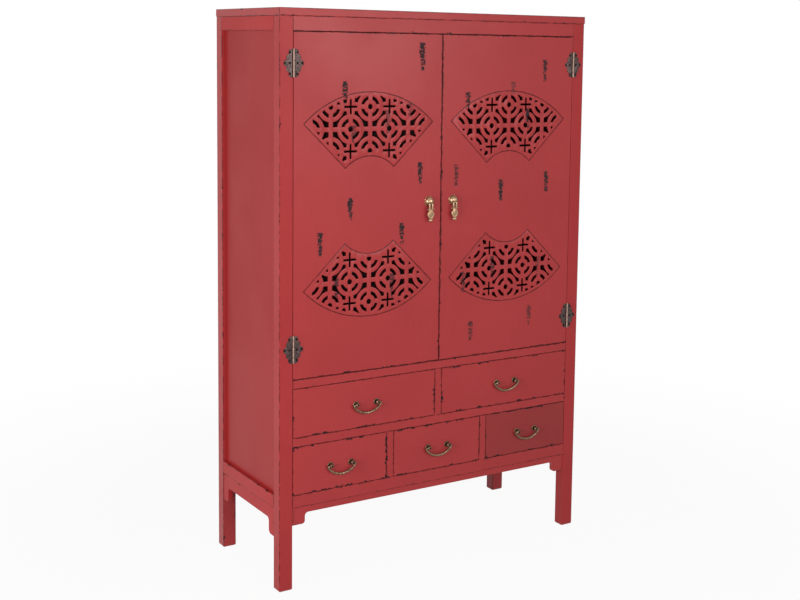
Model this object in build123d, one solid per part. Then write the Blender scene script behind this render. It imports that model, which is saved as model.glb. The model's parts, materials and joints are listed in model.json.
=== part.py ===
from build123d import *
import math
import os

# A tall two-door cabinet on four square legs: two fretwork doors over two rows of drawers.
# Millimetres. X runs to the cabinet's right, -Y to its front and +Z up from the floor.

# ------------------------------------------------------------------ carcass
carcass_width = 1150.0
carcass_depth = 470.0
post_width = 45.0
post_depth = 40.0
post_edge_radius = 1.8
foot_chamfer = 3.5
leg_height = 262.0
bottom_rail_height = 39.0
lower_row_height = 154.0
drawer_rail_height = 28.0
upper_row_height = 156.0
door_rail_height = 27.0
door_opening_height = 1066.0
top_rail_height = 44.0
rail_depth = 34.0
rail_edge_radius = 1.2
muntin_width = 25.0
top_thickness = 24.0
top_overhang = 2.0
top_edge_radius = 2.0

# Frame-and-panel sides and back
side_bottom_rail_height = 41.0
panel_rail_thickness = 24.0
side_panel_recess = 11.0
side_panel_thickness = 10.0
back_panel_recess = 6.0
back_panel_thickness = 8.0
groove_depth = 7.0
groove_clearance = 0.3

# Aprons under the bottom rails
front_apron_height = 22.0
front_bracket_width = 45.0
front_bracket_drop = 35.0
front_cove_radius = 12.0
front_corner_radius = 10.0
front_apron_recess = 4.0
side_apron_height = 42.0
side_bracket_width = 38.0
side_bracket_drop = 50.0
side_cove_radius = 12.0
side_corner_radius = 14.0
side_apron_recess = 1.5
apron_thickness = 15.0

# Boards inside the carcass
board_thickness = 12.0
cleat_width = 16.0
cleat_height = 18.0
shelf_thickness = 18.0
shelf_setback = 6.0
guide_height = 26.0

# ------------------------------------------------------------------ doors
door_thickness = 20.0
door_edge_radius = 1.2
door_gap = 1.8
door_centre_gap = 3.0
stop_width = 40.0
stop_height = 13.0
stop_gap = 0.3
decoration_drop = 3.5

# Fan panels, measured from the centre of their arcs
fan_outer_radius = 320.0
fan_inner_radius = 121.0
fan_half_angle = 45.7
fan_centre_offset = 33.0
fan_border = 10.5
fan_gap = 1.2
fan_ledge = 7.0
fret_thickness = 10.0

# Fretwork: rings and crosses on a square lattice
fret_pitch = 69.0
fret_row_height = 205.4
ring_outer_radius = 46.5
ring_inner_radius = 33.0
hub_radius = 22.3
hub_hole_radius = 8.6
spoke_width = 14.0
slot_bar_width = 27.0
slot_width = 7.0
slot_end_reach = 0.5
fret_overlap = 1.0
smallest_fret_hole = 20.0

# ------------------------------------------------------------------ hinges
hinge_inset = 95.0
hinge_height = 84.0
hinge_reach = 33.0
hinge_leaf_thickness = 1.5
hinge_barrel_radius = 2.7
hinge_pin_radius = 1.5
hinge_pin_clearance = 0.05
hinge_face_gap = 0.3
hinge_knuckles = 5
hinge_knuckle_gap = 0.4
hinge_side_gap = 0.3
hinge_end_lobe_radius = 9.0
hinge_end_lobe_reach = 7.5
hinge_side_lobe_radius = 10.5
hinge_side_lobe_reach = 13.5
hinge_side_lobe_height = 17.0
hinge_middle_lobe_radius = 10.0
hinge_pin_head_radius = 2.5
hinge_pin_head_height = 1.6
nail_head_radius = 2.4
nail_head_height = 1.2
nail_shank_radius = 1.0
nail_hole_clearance = 0.1
nail_length = 9.0
nail_inner_reach = 12.5
nail_outer_reach = 29.0
nail_end_height = 32.0

# ------------------------------------------------------------------ door pulls
pull_from_centre = 46.0
knob_radius = 17.0
knob_flange_thickness = 2.0
knob_peg_radius = 2.5
knob_peg_length = 14.0
peg_clearance = 0.15
drop_pivot_below_knob = 8.0
drop_pivot_projection = 13.0
drop_pin_radius = 1.5
drop_pin_clearance = 0.05
drop_tongue_thickness = 3.8
drop_tongue_radius = 3.2
drop_side_clearance = 0.3
drop_notch_clearance = 1.0
drop_prong_width = 6.2
drop_prong_radius = 3.4
drop_thickness = 6.8
drop_prong_length = 18.0
drop_edge_radius = 1.2
wing_span = 38.0
wing_height = 3.4
wing_thickness = 3.0
bulb_width = 25.5
bulb_height = 33.0
bulb_neck_width = 15.0
bulb_neck_height = 10.0
bulb_panel_width = 13.0
bulb_panel_height = 19.0
bulb_panel_depth = 1.2
finial_width = 17.0
finial_height = 9.0
finial_overlap = 2.5

# ------------------------------------------------------------------ drawers
drawer_gap = 1.5
drawer_front_thickness = 20.0
drawer_edge_radius = 1.2
drawer_side_clearance = 2.0
drawer_running_gap = 0.3
drawer_back_clearance = 1.0
drawer_side_thickness = 12.0
drawer_side_below_front = 26.0
drawer_bottom_thickness = 6.0
drawer_bottom_raise = 8.0
drawer_groove_depth = 5.0
upper_drawer_count = 2
lower_drawer_count = 3

# Drawer bails
bail_post_spacing = 74.0
bail_rosette_radius = 11.0
bail_rosette_thickness = 2.2
bail_stem_radius = 4.2
bail_head_radius = 6.0
bail_axis_projection = 10.0
bail_peg_radius = 2.0
bail_peg_length = 12.0
bail_rod_radius = 2.9
bail_pin_radius = 1.6
bail_pin_clearance = 0.05
bail_pin_reach = 5.0
bail_head_gap = 0.3
bail_corner_radius = 4.2
bail_drop = 29.0

# ------------------------------------------------------------------ levels and faces
lower_row_z = leg_height + bottom_rail_height
drawer_rail_z = lower_row_z + lower_row_height
upper_row_z = drawer_rail_z + drawer_rail_height
door_rail_z = upper_row_z + upper_row_height
door_opening_z = door_rail_z + door_rail_height
top_rail_z = door_opening_z + door_opening_height
top_z = top_rail_z + top_rail_height
door_middle_z = door_opening_z + door_opening_height / 2
decoration_z = door_middle_z - decoration_drop

# The origin lies on the floor, midway between the rear face and the foremost hardware.
front_projection = max(knob_radius, drop_pivot_projection + drop_thickness / 2,
                       bail_axis_projection + bail_head_radius)
face_y = (front_projection - carcass_depth) / 2
rear_y = face_y + carcass_depth
rail_back_y = face_y + rail_depth
post_back_y = face_y + post_depth
rear_post_y = rear_y - post_depth
half_width = carcass_width / 2
inner_x = half_width - post_width
panel_outer_x = half_width - side_panel_recess
panel_inner_x = panel_outer_x - side_panel_thickness
board_side_x = half_width - panel_rail_thickness
back_panel_y = rear_y - back_panel_recess - back_panel_thickness
side_rail_z = lower_row_z - side_bottom_rail_height

hinge_axis_x = inner_x - door_gap / 2
hinge_axis_y = face_y - hinge_barrel_radius - hinge_face_gap
hinge_levels = (door_opening_z + door_gap + hinge_inset,
                top_rail_z - door_gap - hinge_inset)
shelf_top_z = door_middle_z + shelf_thickness / 2
board_tops = (lower_row_z, upper_row_z, door_opening_z)
tolerance = 0.01


# ------------------------------------------------------------------ helpers
def block(x_span, y_span, z_span):
    """Rectangular block between two x, two y and two z values."""
    spans = (x_span, y_span, z_span)
    sizes = [abs(high - low) for low, high in spans]
    middles = [(low + high) / 2 for low, high in spans]
    return Pos(*middles) * Box(*sizes)


def soften(solid, axis, radius):
    """Round the edges that run along an axis."""
    return fillet(solid.edges().filter_by(axis), radius)


def mirrored(shape):
    """The same piece on the other side of the cabinet."""
    return mirror(shape, about=Plane.YZ)


def group(solids):
    """Several separate solids as one node."""
    return Compound(children=list(solids))


def front_plane(x, y, z):
    """Sketch plane that faces the front, with its own Y pointing up."""
    return Plane(origin=(x, y, z), x_dir=(1, 0, 0), z_dir=(0, -1, 0))


def push_back(outline, depth):
    """Thicken an outline on a front plane towards the rear."""
    return extrude(outline, amount=depth, dir=(0, 1, 0))


def rod_x(x_span, y, z, radius):
    """Round rod along X."""
    length = x_span[1] - x_span[0]
    middle = (x_span[0] + x_span[1]) / 2
    return Pos(middle, y, z) * Rot(0, 90, 0) * Cylinder(radius, length)


def rod_y(x, y_span, z, radius):
    """Round rod along Y."""
    length = y_span[1] - y_span[0]
    middle = (y_span[0] + y_span[1]) / 2
    return Pos(x, middle, z) * Rot(90, 0, 0) * Cylinder(radius, length)


# ------------------------------------------------------------------ side and back panels
def panel_space(x_span, y_span, z_span, clearance):
    """A panel with its tongues, grown by the clearance when it cuts its grooves."""
    return block((x_span[0] - clearance, x_span[1] + clearance),
                 (y_span[0] - clearance, y_span[1] + clearance),
                 (z_span[0] - clearance, z_span[1] + clearance))


def right_side_panel(clearance):
    """Thin flat panel held in grooves in the posts and side rails."""
    return panel_space((panel_inner_x, panel_outer_x),
                       (post_back_y - groove_depth, rear_post_y + groove_depth),
                       (lower_row_z - groove_depth, top_rail_z + groove_depth), clearance)


def back_panel(clearance):
    """Thin flat panel held in grooves in the rear posts and back rails."""
    return panel_space((-inner_x - groove_depth, inner_x + groove_depth),
                       (back_panel_y, back_panel_y + back_panel_thickness),
                       (lower_row_z - groove_depth, top_rail_z + groove_depth), clearance)


# ------------------------------------------------------------------ posts and rails
def right_post(y_span):
    """Square corner post that is also the leg, grooved for the panels."""
    post = block((inner_x, half_width), y_span, (0, top_z))
    post = chamfer(post.faces().sort_by(Axis.Z)[0].edges(), foot_chamfer)
    uprights = [edge for edge in post.edges().filter_by(Axis.Z) if edge.length > leg_height]
    post = fillet(uprights, post_edge_radius)
    return post - right_side_panel(groove_clearance) - back_panel(groove_clearance)


def front_rail(z_span):
    """Rail across the front, between the two front posts."""
    rail = block((-inner_x, inner_x), (face_y, rail_back_y), z_span)
    return soften(rail, Axis.X, rail_edge_radius)


def muntin(x, z_span):
    """Upright strip between two drawers."""
    strip = block((x - muntin_width / 2, x + muntin_width / 2), (face_y, rail_back_y), z_span)
    return soften(strip, Axis.Z, rail_edge_radius)


def right_side_rail(z_span):
    """Side rail between a front and a rear post."""
    rail = block((half_width - panel_rail_thickness, half_width),
                 (post_back_y, rear_post_y), z_span)
    return soften(rail, Axis.Y, rail_edge_radius) - right_side_panel(groove_clearance)


def back_rail(z_span):
    """Back rail between the two rear posts."""
    rail = block((-inner_x, inner_x), (rear_y - panel_rail_thickness, rear_y), z_span)
    return soften(rail, Axis.X, rail_edge_radius) - back_panel(groove_clearance)


# ------------------------------------------------------------------ aprons
def apron_outline(length, height, bracket_width, bracket_drop, cove_radius, corner_radius):
    """Board with a rounded bracket at each end, hanging from its top edge."""
    full_height = height + bracket_drop
    outline = Rectangle(length, height, align=(Align.CENTER, Align.MAX))
    bracket = Rectangle(bracket_width, full_height, align=(Align.MAX, Align.MAX))
    outline += Pos(length / 2, 0) * bracket
    outline += Pos(bracket_width - length / 2, 0) * bracket
    step = length / 2 - bracket_width
    for level, radius in ((height, cove_radius), (full_height, corner_radius)):
        corners = [v for v in outline.vertices()
                   if abs(abs(v.X) - step) < tolerance and abs(v.Y + level) < tolerance]
        outline = fillet(corners, radius)
    return outline


def front_apron():
    """Apron under the front bottom rail, set back a little from it."""
    outline = apron_outline(2 * inner_x, front_apron_height, front_bracket_width,
                            front_bracket_drop, front_cove_radius, front_corner_radius)
    plane = front_plane(0, face_y + front_apron_recess, leg_height)
    return push_back(plane * outline, apron_thickness)


def right_side_apron():
    """Apron under a side rail."""
    outline = apron_outline(rear_post_y - post_back_y, side_apron_height, side_bracket_width,
                            side_bracket_drop, side_cove_radius, side_corner_radius)
    plane = Plane(origin=(half_width - side_apron_recess, (post_back_y + rear_post_y) / 2,
                          side_rail_z), x_dir=(0, 1, 0), z_dir=(1, 0, 0))
    return extrude(plane * outline, amount=apron_thickness, dir=(-1, 0, 0))


# ------------------------------------------------------------------ inner boards
def inner_board(top, back_y):
    """Horizontal board notched round the four posts."""
    z_span = (top - board_thickness, top)
    wide = block((-board_side_x, board_side_x), (post_back_y, rear_post_y), z_span)
    long = block((-inner_x, inner_x), (rail_back_y, back_y), z_span)
    return wide + long


def shelf():
    """Loose shelf on cleats at the middle of the door opening."""
    front = post_back_y + shelf_setback
    return block((-board_side_x, board_side_x), (front, rear_post_y),
                 (shelf_top_z - shelf_thickness, shelf_top_z))


def cleats():
    """Strips between the posts that carry the boards and the shelf."""
    undersides = [top - board_thickness for top in board_tops]
    undersides.append(shelf_top_z - shelf_thickness)
    strips = [block((board_side_x - cleat_width, board_side_x), (post_back_y, rear_post_y),
                    (under - cleat_height, under)) for under in undersides]
    return group(strips + [mirrored(strip) for strip in strips])


def row_muntin_positions(count):
    """Middle of each muntin in a row of equal drawers."""
    step = (2 * inner_x + muntin_width) / count
    return [step * index - inner_x - muntin_width / 2 for index in range(1, count)]


def drawer_guides():
    """Strips on the boards that keep the drawers straight."""
    strips = []
    for base, count in ((lower_row_z, lower_drawer_count), (upper_row_z, upper_drawer_count)):
        z_span = (base, base + guide_height)
        side = block((inner_x, board_side_x), (post_back_y, rear_post_y), z_span)
        strips += [side, mirrored(side)]
        for x in row_muntin_positions(count):
            strips.append(block((x - muntin_width / 2, x + muntin_width / 2),
                                (rail_back_y, back_panel_y), z_span))
    return group(strips)


def door_stops():
    """Two blocks under the top rail that the doors close against."""
    y_span = (face_y + door_thickness + stop_gap, rail_back_y)
    stop = block((door_centre_gap, door_centre_gap + stop_width), y_span,
                 (top_rail_z - stop_height, top_rail_z))
    return group([stop, mirrored(stop)])


# ------------------------------------------------------------------ fan panels
def fan_outline(inset):
    """Fan between two arcs and two spokes, with every side moved inwards by the inset."""
    half_angle = math.radians(fan_half_angle)
    reach = 2 * fan_outer_radius
    apex = inset / math.sin(half_angle)
    wedge = Polygon((0, apex), (reach * math.tan(half_angle), apex + reach),
                    (-reach * math.tan(half_angle), apex + reach), align=None)
    band = Circle(fan_outer_radius - inset) - Circle(fan_inner_radius + inset)
    return band & wedge


def cross(width, length):
    """Two equal bars crossing at the origin."""
    return Rectangle(length, width) + Rectangle(width, length)


def lattice_cell(column, row):
    """The solid part of the fretwork around one lattice point."""
    arm = 2 * (fret_pitch - ring_outer_radius + fret_overlap)
    if (column + row) % 2:
        ring = Circle(ring_outer_radius) - Circle(ring_inner_radius)
        hub = Circle(hub_radius) - Circle(hub_hole_radius)
        spokes = cross(spoke_width, 2 * ring_inner_radius + fret_overlap)
        return ring + hub + (spokes - Circle(hub_radius - fret_overlap))
    if column % 2:
        slots = cross(slot_width, 2 * (fret_pitch - ring_outer_radius + slot_end_reach))
        return cross(slot_bar_width, arm) - slots
    return cross(spoke_width, arm)


def fretwork():
    """Fan panel pierced by the holes of the lattice, inside a plain border."""
    columns = math.ceil(fan_outer_radius / fret_pitch)
    rows = math.ceil((fan_outer_radius - fret_row_height) / fret_pitch)
    field = fan_outline(fan_border)
    holes = field
    cells = []
    for column in range(-columns, columns + 1):
        for row in range(-rows, rows + 1):
            place = Pos(column * fret_pitch, fret_row_height + row * fret_pitch)
            cells.append(place * lattice_cell(column, row))
    holes = holes - cells
    kept = [face for face in holes.faces() if face.area > smallest_fret_hole]
    return fan_outline(0) - kept


fret_sketch = fretwork()


def fan_place(door_x, upwards):
    """Where the centre of a fan's arcs lies on a door, and which way up it is."""
    sign = 1 if upwards else -1
    turn = Rot(0, 0, 0 if upwards else 180)
    return front_plane(door_x, face_y, decoration_z + sign * fan_centre_offset), turn


def fan_solid(sketch, door_x, upwards, depth):
    """A fan sketch on the door's face, pushed into the door by the depth."""
    plane, turn = fan_place(door_x, upwards)
    return push_back(plane * turn * sketch, depth)


# ------------------------------------------------------------------ hinges
def leaf_outline():
    """Cloud-shaped half plate, its own X running away from the hinge axis."""
    inner = hinge_barrel_radius + hinge_side_gap
    half = hinge_height / 2
    end = half - hinge_end_lobe_radius
    middle = hinge_reach - hinge_middle_lobe_radius
    body = Polygon((inner, half), (hinge_end_lobe_reach, half),
                   (hinge_side_lobe_reach, hinge_side_lobe_height), (middle, 0),
                   (hinge_side_lobe_reach, -hinge_side_lobe_height),
                   (hinge_end_lobe_reach, -half), (inner, -half), align=None)
    lobes = [Pos(middle, 0) * Circle(hinge_middle_lobe_radius)]
    for sign in (-1, 1):
        lobes.append(Pos(hinge_end_lobe_reach, sign * end) * Circle(hinge_end_lobe_radius))
        lobes.append(Pos(hinge_side_lobe_reach, sign * hinge_side_lobe_height)
                     * Circle(hinge_side_lobe_radius))
    outline = body + lobes
    plate = Rectangle(hinge_reach, hinge_height, align=(Align.MIN, Align.CENTER))
    return outline & (Pos(inner, 0) * plate)


def leaf_knuckles(z, first):
    """Every second knuckle of the barrel, with the strap that joins it to the plate."""
    pitch = hinge_height / hinge_knuckles
    length = pitch - hinge_knuckle_gap
    strap_end = hinge_barrel_radius + hinge_side_gap + hinge_leaf_thickness
    parts = []
    for index in range(first, hinge_knuckles, 2):
        level = z - hinge_height / 2 + pitch * (index + 1 / 2)
        barrel = Pos(hinge_axis_x, hinge_axis_y, level) * Cylinder(hinge_barrel_radius, length)
        strap = block((hinge_axis_x, hinge_axis_x + strap_end),
                      (face_y - hinge_leaf_thickness, face_y),
                      (level - length / 2, level + length / 2))
        parts.append(barrel + strap)
    return parts


def right_leaf(z, inward):
    """One hinge leaf of the right door: inward on the door, outward on the post."""
    front = front_plane(0, face_y - hinge_leaf_thickness, z)
    plate = push_back(front * leaf_outline(), hinge_leaf_thickness)
    leaf = Pos(hinge_axis_x, 0, 0) * plate
    for knuckle in leaf_knuckles(z, 1 if inward else 0):
        leaf += knuckle
    if inward:
        leaf = mirror(leaf, about=Plane.YZ.offset(hinge_axis_x))
    bore = Cylinder(hinge_pin_radius + hinge_pin_clearance, 2 * hinge_height)
    leaf -= Pos(hinge_axis_x, hinge_axis_y, z) * bore
    for nail in leaf_nails(z, inward):
        leaf -= nail_hole(nail)
    return leaf


def hinge_pin(z):
    """Loose pin with a small head on top of the barrel."""
    pin = Cylinder(hinge_pin_radius, hinge_height, align=(Align.CENTER, Align.CENTER, Align.MAX))
    head = Cylinder(hinge_pin_head_radius, hinge_pin_head_height,
                    align=(Align.CENTER, Align.CENTER, Align.MIN))
    return Pos(hinge_axis_x, hinge_axis_y, z + hinge_height / 2) * (pin + head)


def leaf_nails(z, inward):
    """Places of the four nails in one leaf."""
    sign = -1 if inward else 1
    reaches = ((nail_inner_reach, -nail_end_height), (nail_inner_reach, nail_end_height),
               (nail_inner_reach, 0), (nail_outer_reach, 0))
    return [(hinge_axis_x + sign * reach, z + height) for reach, height in reaches]


def nail_places(inward):
    """Places of the nails in all the leaves on one side of the right hinges."""
    return [place for z in hinge_levels for place in leaf_nails(z, inward)]


def nail_hole(place):
    """Drilled hole through a leaf and into the wood."""
    y_span = (face_y - 2 * hinge_leaf_thickness, face_y + nail_length)
    return rod_y(place[0], y_span, place[1], nail_shank_radius + nail_hole_clearance)


def nail(place):
    """Round-headed nail that holds a hinge leaf."""
    x, z = place
    seat_y = face_y - hinge_leaf_thickness
    head = rod_y(x, (seat_y - nail_head_height, seat_y), z, nail_head_radius)
    head = fillet(head.edges().sort_by(Axis.Y)[0], nail_head_height / 2)
    return head + rod_y(x, (seat_y, face_y + nail_length - nail_hole_clearance), z,
                        nail_shank_radius)


# ------------------------------------------------------------------ doors
door_width = inner_x - door_gap - door_centre_gap / 2
door_x = door_centre_gap / 2 + door_width / 2


def right_door():
    """Flat board with two fan windows, rebated for the fretwork from the front."""
    door = block((door_x - door_width / 2, door_x + door_width / 2),
                 (face_y, face_y + door_thickness),
                 (door_opening_z + door_gap, top_rail_z - door_gap))
    front = door.faces().sort_by(Axis.Y)[0]
    door = fillet(front.edges(), door_edge_radius)
    for upwards in (True, False):
        door -= fan_solid(fan_outline(-fan_gap), door_x, upwards, fret_thickness)
        door -= fan_solid(fan_outline(fan_ledge), door_x, upwards, door_thickness)
    for place in nail_places(inward=True):
        door -= nail_hole(place)
    peg_hole = knob_peg_radius + peg_clearance
    return door - rod_y(pull_from_centre, (face_y, face_y + knob_peg_length), decoration_z,
                        peg_hole)


# ------------------------------------------------------------------ door pulls
def right_knob():
    """Round brass boss with a notch and a tongue that the drop hangs from."""
    pivot_y = face_y - drop_pivot_projection
    pivot_z = decoration_z - drop_pivot_below_knob
    centre = Pos(pull_from_centre, face_y, decoration_z)
    outside = block((pull_from_centre - knob_radius, pull_from_centre + knob_radius),
                    (face_y - knob_radius, face_y),
                    (decoration_z - knob_radius, decoration_z + knob_radius))
    dome = (centre * Sphere(knob_radius)) & outside
    peg = rod_y(pull_from_centre, (face_y - knob_flange_thickness, face_y + knob_peg_length),
                decoration_z, knob_peg_radius)
    half_notch = drop_tongue_thickness / 2 + drop_side_clearance + drop_prong_width
    half_notch += drop_notch_clearance
    clear = drop_prong_radius + drop_notch_clearance
    notch = block((pull_from_centre - half_notch, pull_from_centre + half_notch),
                  (face_y - 2 * knob_radius, pivot_y + clear),
                  (decoration_z - 2 * knob_radius, pivot_z + clear))
    tongue = rod_x((pull_from_centre - drop_tongue_thickness / 2,
                    pull_from_centre + drop_tongue_thickness / 2), pivot_y, pivot_z,
                   drop_tongue_radius)
    tongue += block((pull_from_centre - drop_tongue_thickness / 2,
                     pull_from_centre + drop_tongue_thickness / 2),
                    (pivot_y - drop_tongue_radius, pivot_y + drop_tongue_radius),
                    (pivot_z, pivot_z + clear + fret_overlap)) & dome
    bore = rod_x((pull_from_centre - knob_radius, pull_from_centre + knob_radius), pivot_y,
                 pivot_z, drop_pin_radius + drop_pin_clearance)
    return (dome - notch) + tongue + peg - bore


def cast_plate(outline):
    """Thick plate with both rims rounded, centred on the drop's own plane."""
    plate = push_back(front_plane(0, -drop_thickness / 2, 0) * outline, drop_thickness)
    faces = plate.faces().sort_by(Axis.Y)
    return fillet(faces[0].edges() + faces[-1].edges(), drop_edge_radius)


def right_drop():
    """Cast drop: two prongs and their pin, a winged bar, a bulb and a finial."""
    inner = drop_tongue_thickness / 2 + drop_side_clearance
    outer = inner + drop_prong_width
    bulb_middle = drop_prong_length + bulb_height / 2
    finial_middle = drop_prong_length + bulb_height + finial_height / 2 - finial_overlap
    drop = cast_plate(Pos(0, -bulb_middle) * Ellipse(bulb_width / 2, bulb_height / 2))
    drop += cast_plate(Pos(0, -drop_prong_length) * Rectangle(bulb_neck_width, bulb_neck_height))
    drop += cast_plate(Pos(0, -finial_middle) * Ellipse(finial_width / 2, finial_height / 2))
    drop += block((-wing_span / 2, wing_span / 2), (-wing_thickness / 2, wing_thickness / 2),
                  (-drop_prong_length - wing_height / 2, -drop_prong_length + wing_height / 2))
    panel = Pos(0, -bulb_middle) * Ellipse(bulb_panel_width / 2, bulb_panel_height / 2)
    front = -drop_thickness / 2 - bulb_panel_depth
    drop -= push_back(front_plane(0, front, 0) * panel, 2 * bulb_panel_depth)
    for x_span in ((inner, outer), (-outer, -inner)):
        drop += rod_x(x_span, 0, 0, drop_prong_radius)
        drop += block(x_span, (-drop_prong_radius, drop_prong_radius),
                      (-drop_prong_length, 0))
    drop += rod_x((-outer, outer), 0, 0, drop_pin_radius)
    return Pos(pull_from_centre, face_y - drop_pivot_projection,
               decoration_z - drop_pivot_below_knob) * drop


# ------------------------------------------------------------------ drawers
def row_drawer_spans(count):
    """Left and right side of each drawer opening in a row."""
    edges = [-inner_x - muntin_width / 2] + row_muntin_positions(count)
    edges.append(inner_x + muntin_width / 2)
    return [(left + muntin_width / 2, right - muntin_width / 2)
            for left, right in zip(edges, edges[1:])]


def drawer_front(x_span, z_span):
    """Flat drawer front with holes for the pegs of its two bail posts."""
    front = block((x_span[0] + drawer_gap, x_span[1] - drawer_gap),
                  (face_y, face_y + drawer_front_thickness),
                  (z_span[0] + drawer_gap, z_span[1] - drawer_gap))
    front = fillet(front.faces().sort_by(Axis.Y)[0].edges(), drawer_edge_radius)
    middle_x = (x_span[0] + x_span[1]) / 2
    middle_z = (z_span[0] + z_span[1]) / 2
    for side in (-1, 1):
        front -= rod_y(middle_x + side * bail_post_spacing / 2,
                       (face_y, face_y + bail_peg_length + peg_clearance), middle_z,
                       bail_peg_radius + peg_clearance)
    return front


def drawer_box(x_span, z_span):
    """Two sides, a back and a grooved-in bottom behind the drawer front."""
    left = x_span[0] + drawer_side_clearance
    right = x_span[1] - drawer_side_clearance
    low = z_span[0] + drawer_running_gap
    high = z_span[1] - drawer_side_below_front
    front_y = face_y + drawer_front_thickness
    back_y = back_panel_y - drawer_back_clearance
    bottom_z = low + drawer_bottom_raise
    bottom_span = (bottom_z, bottom_z + drawer_bottom_thickness)
    inner = (left + drawer_side_thickness, right - drawer_side_thickness)
    bottom = block((inner[0] - drawer_groove_depth, inner[1] + drawer_groove_depth),
                   (front_y, back_y - drawer_side_thickness + drawer_groove_depth), bottom_span)
    groove = block((inner[0] - drawer_groove_depth - groove_clearance,
                    inner[1] + drawer_groove_depth + groove_clearance),
                   (front_y, back_y - drawer_side_thickness + drawer_groove_depth
                    + groove_clearance),
                   (bottom_z, bottom_z + drawer_bottom_thickness + groove_clearance))
    left_side = block((left, inner[0]), (front_y, back_y), (low, high)) - groove
    right_side = block((inner[1], right), (front_y, back_y), (low, high)) - groove
    back = block(inner, (back_y - drawer_side_thickness, back_y), (low, high)) - groove
    return group([left_side, right_side, back, bottom])


def bail_post(x, z):
    """Turned rosette, stem and round head with a cross hole for the bail."""
    axis_y = face_y - bail_axis_projection
    neck = math.sqrt(bail_head_radius ** 2 - bail_stem_radius ** 2)
    rim = bail_rosette_thickness / 2
    profile = Wire([
        Line((0, -bail_peg_length), (bail_peg_radius, -bail_peg_length)),
        Line((bail_peg_radius, -bail_peg_length), (bail_peg_radius, 0)),
        Line((bail_peg_radius, 0), (bail_rosette_radius, 0)),
        Line((bail_rosette_radius, 0), (bail_rosette_radius, rim)),
        CenterArc((bail_rosette_radius - rim, rim), rim, 0, 90),
        Line((bail_rosette_radius - rim, 2 * rim), (bail_stem_radius, 2 * rim)),
        Line((bail_stem_radius, 2 * rim), (bail_stem_radius, bail_axis_projection - neck)),
        CenterArc((0, bail_axis_projection), bail_head_radius,
                  -math.degrees(math.atan2(neck, bail_stem_radius)),
                  90 + math.degrees(math.atan2(neck, bail_stem_radius))),
        Line((0, bail_axis_projection + bail_head_radius), (0, -bail_peg_length)),
    ])
    turned = revolve(make_face(profile), axis=Axis.Y)
    place = Plane(origin=(x, face_y, z), x_dir=(1, 0, 0), z_dir=(0, 0, -1))
    hole = rod_x((x - 2 * bail_head_radius, x + 2 * bail_head_radius), axis_y, z,
                 bail_pin_radius + bail_pin_clearance)
    return place * turned - hole


def bail(x, z):
    """Curved handle: a pin at each end, a tight corner and one large arc."""
    pin_x = bail_post_spacing / 2
    corner_x = pin_x + bail_head_radius + bail_head_gap
    low = bail_drop - bail_corner_radius
    arc_radius = (corner_x ** 2 + low ** 2 - bail_corner_radius ** 2) / (
        2 * (low - bail_corner_radius))
    arc_y = arc_radius - bail_drop
    angle = math.degrees(math.atan2(-bail_corner_radius - arc_y, corner_x))
    corner = CenterArc((corner_x, -bail_corner_radius), bail_corner_radius, 90, angle - 90)
    sweep_arc = CenterArc((0, arc_y), arc_radius, angle, -180 - 2 * angle)
    far_corner = CenterArc((-corner_x, -bail_corner_radius), bail_corner_radius,
                           180 - angle, angle - 90)
    place = front_plane(x, face_y - bail_axis_projection, z)
    path = place * Wire([corner, sweep_arc, far_corner])
    section = Plane(origin=path @ 0, z_dir=path % 0) * Circle(bail_rod_radius)
    handle = sweep(section, path=path)
    for side in (-1, 1):
        ends = sorted((side * (pin_x - bail_pin_reach), side * (corner_x + fret_overlap)))
        handle += rod_x((x + ends[0], x + ends[1]), face_y - bail_axis_projection, z,
                        bail_pin_radius)
    return handle


# ------------------------------------------------------------------ assembly
nodes = {}

front_post = right_post((face_y, post_back_y))
for place in nail_places(inward=False):
    front_post -= nail_hole(place)
rear_post = right_post((rear_post_y, rear_y))
nodes["post_front_right"] = front_post
nodes["post_front_left"] = mirrored(front_post)
nodes["posts_rear"] = group([rear_post, mirrored(rear_post)])

nodes["front_top_rail"] = front_rail((top_rail_z, top_z))
nodes["door_rail"] = front_rail((door_rail_z, door_opening_z))
nodes["drawer_rail"] = front_rail((drawer_rail_z, upper_row_z))
nodes["front_bottom_rail"] = front_rail((leg_height, lower_row_z))
nodes["upper_muntin"] = group([muntin(x, (upper_row_z, door_rail_z))
                               for x in row_muntin_positions(upper_drawer_count)])
nodes["lower_muntins"] = group([muntin(x, (lower_row_z, drawer_rail_z))
                                for x in row_muntin_positions(lower_drawer_count)])

side_rails = [right_side_rail((top_rail_z, top_z)), right_side_rail((side_rail_z, lower_row_z))]
nodes["side_rails"] = group(side_rails + [mirrored(rail) for rail in side_rails])
nodes["side_panel_right"] = right_side_panel(0)
nodes["side_panel_left"] = mirrored(nodes["side_panel_right"])
nodes["back_rails"] = group([back_rail((top_rail_z, top_z)),
                             back_rail((side_rail_z, lower_row_z))])
nodes["back_panel"] = back_panel(0)

top_half = half_width + top_overhang
top = block((-top_half, top_half), (face_y - top_overhang, rear_y),
            (top_z, top_z + top_thickness))
nodes["top_board"] = fillet(top.edges(), top_edge_radius)

nodes["front_apron"] = front_apron()
side_apron = right_side_apron()
nodes["side_aprons"] = group([side_apron, mirrored(side_apron)])
nodes["compartment_floor"] = inner_board(door_opening_z, back_panel_y)
nodes["drawer_boards"] = group([inner_board(upper_row_z, back_panel_y),
                                inner_board(lower_row_z, rear_y - panel_rail_thickness)])
nodes["shelf"] = shelf()
nodes["cleats"] = cleats()
nodes["drawer_guides"] = drawer_guides()
nodes["door_stops"] = door_stops()

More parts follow.
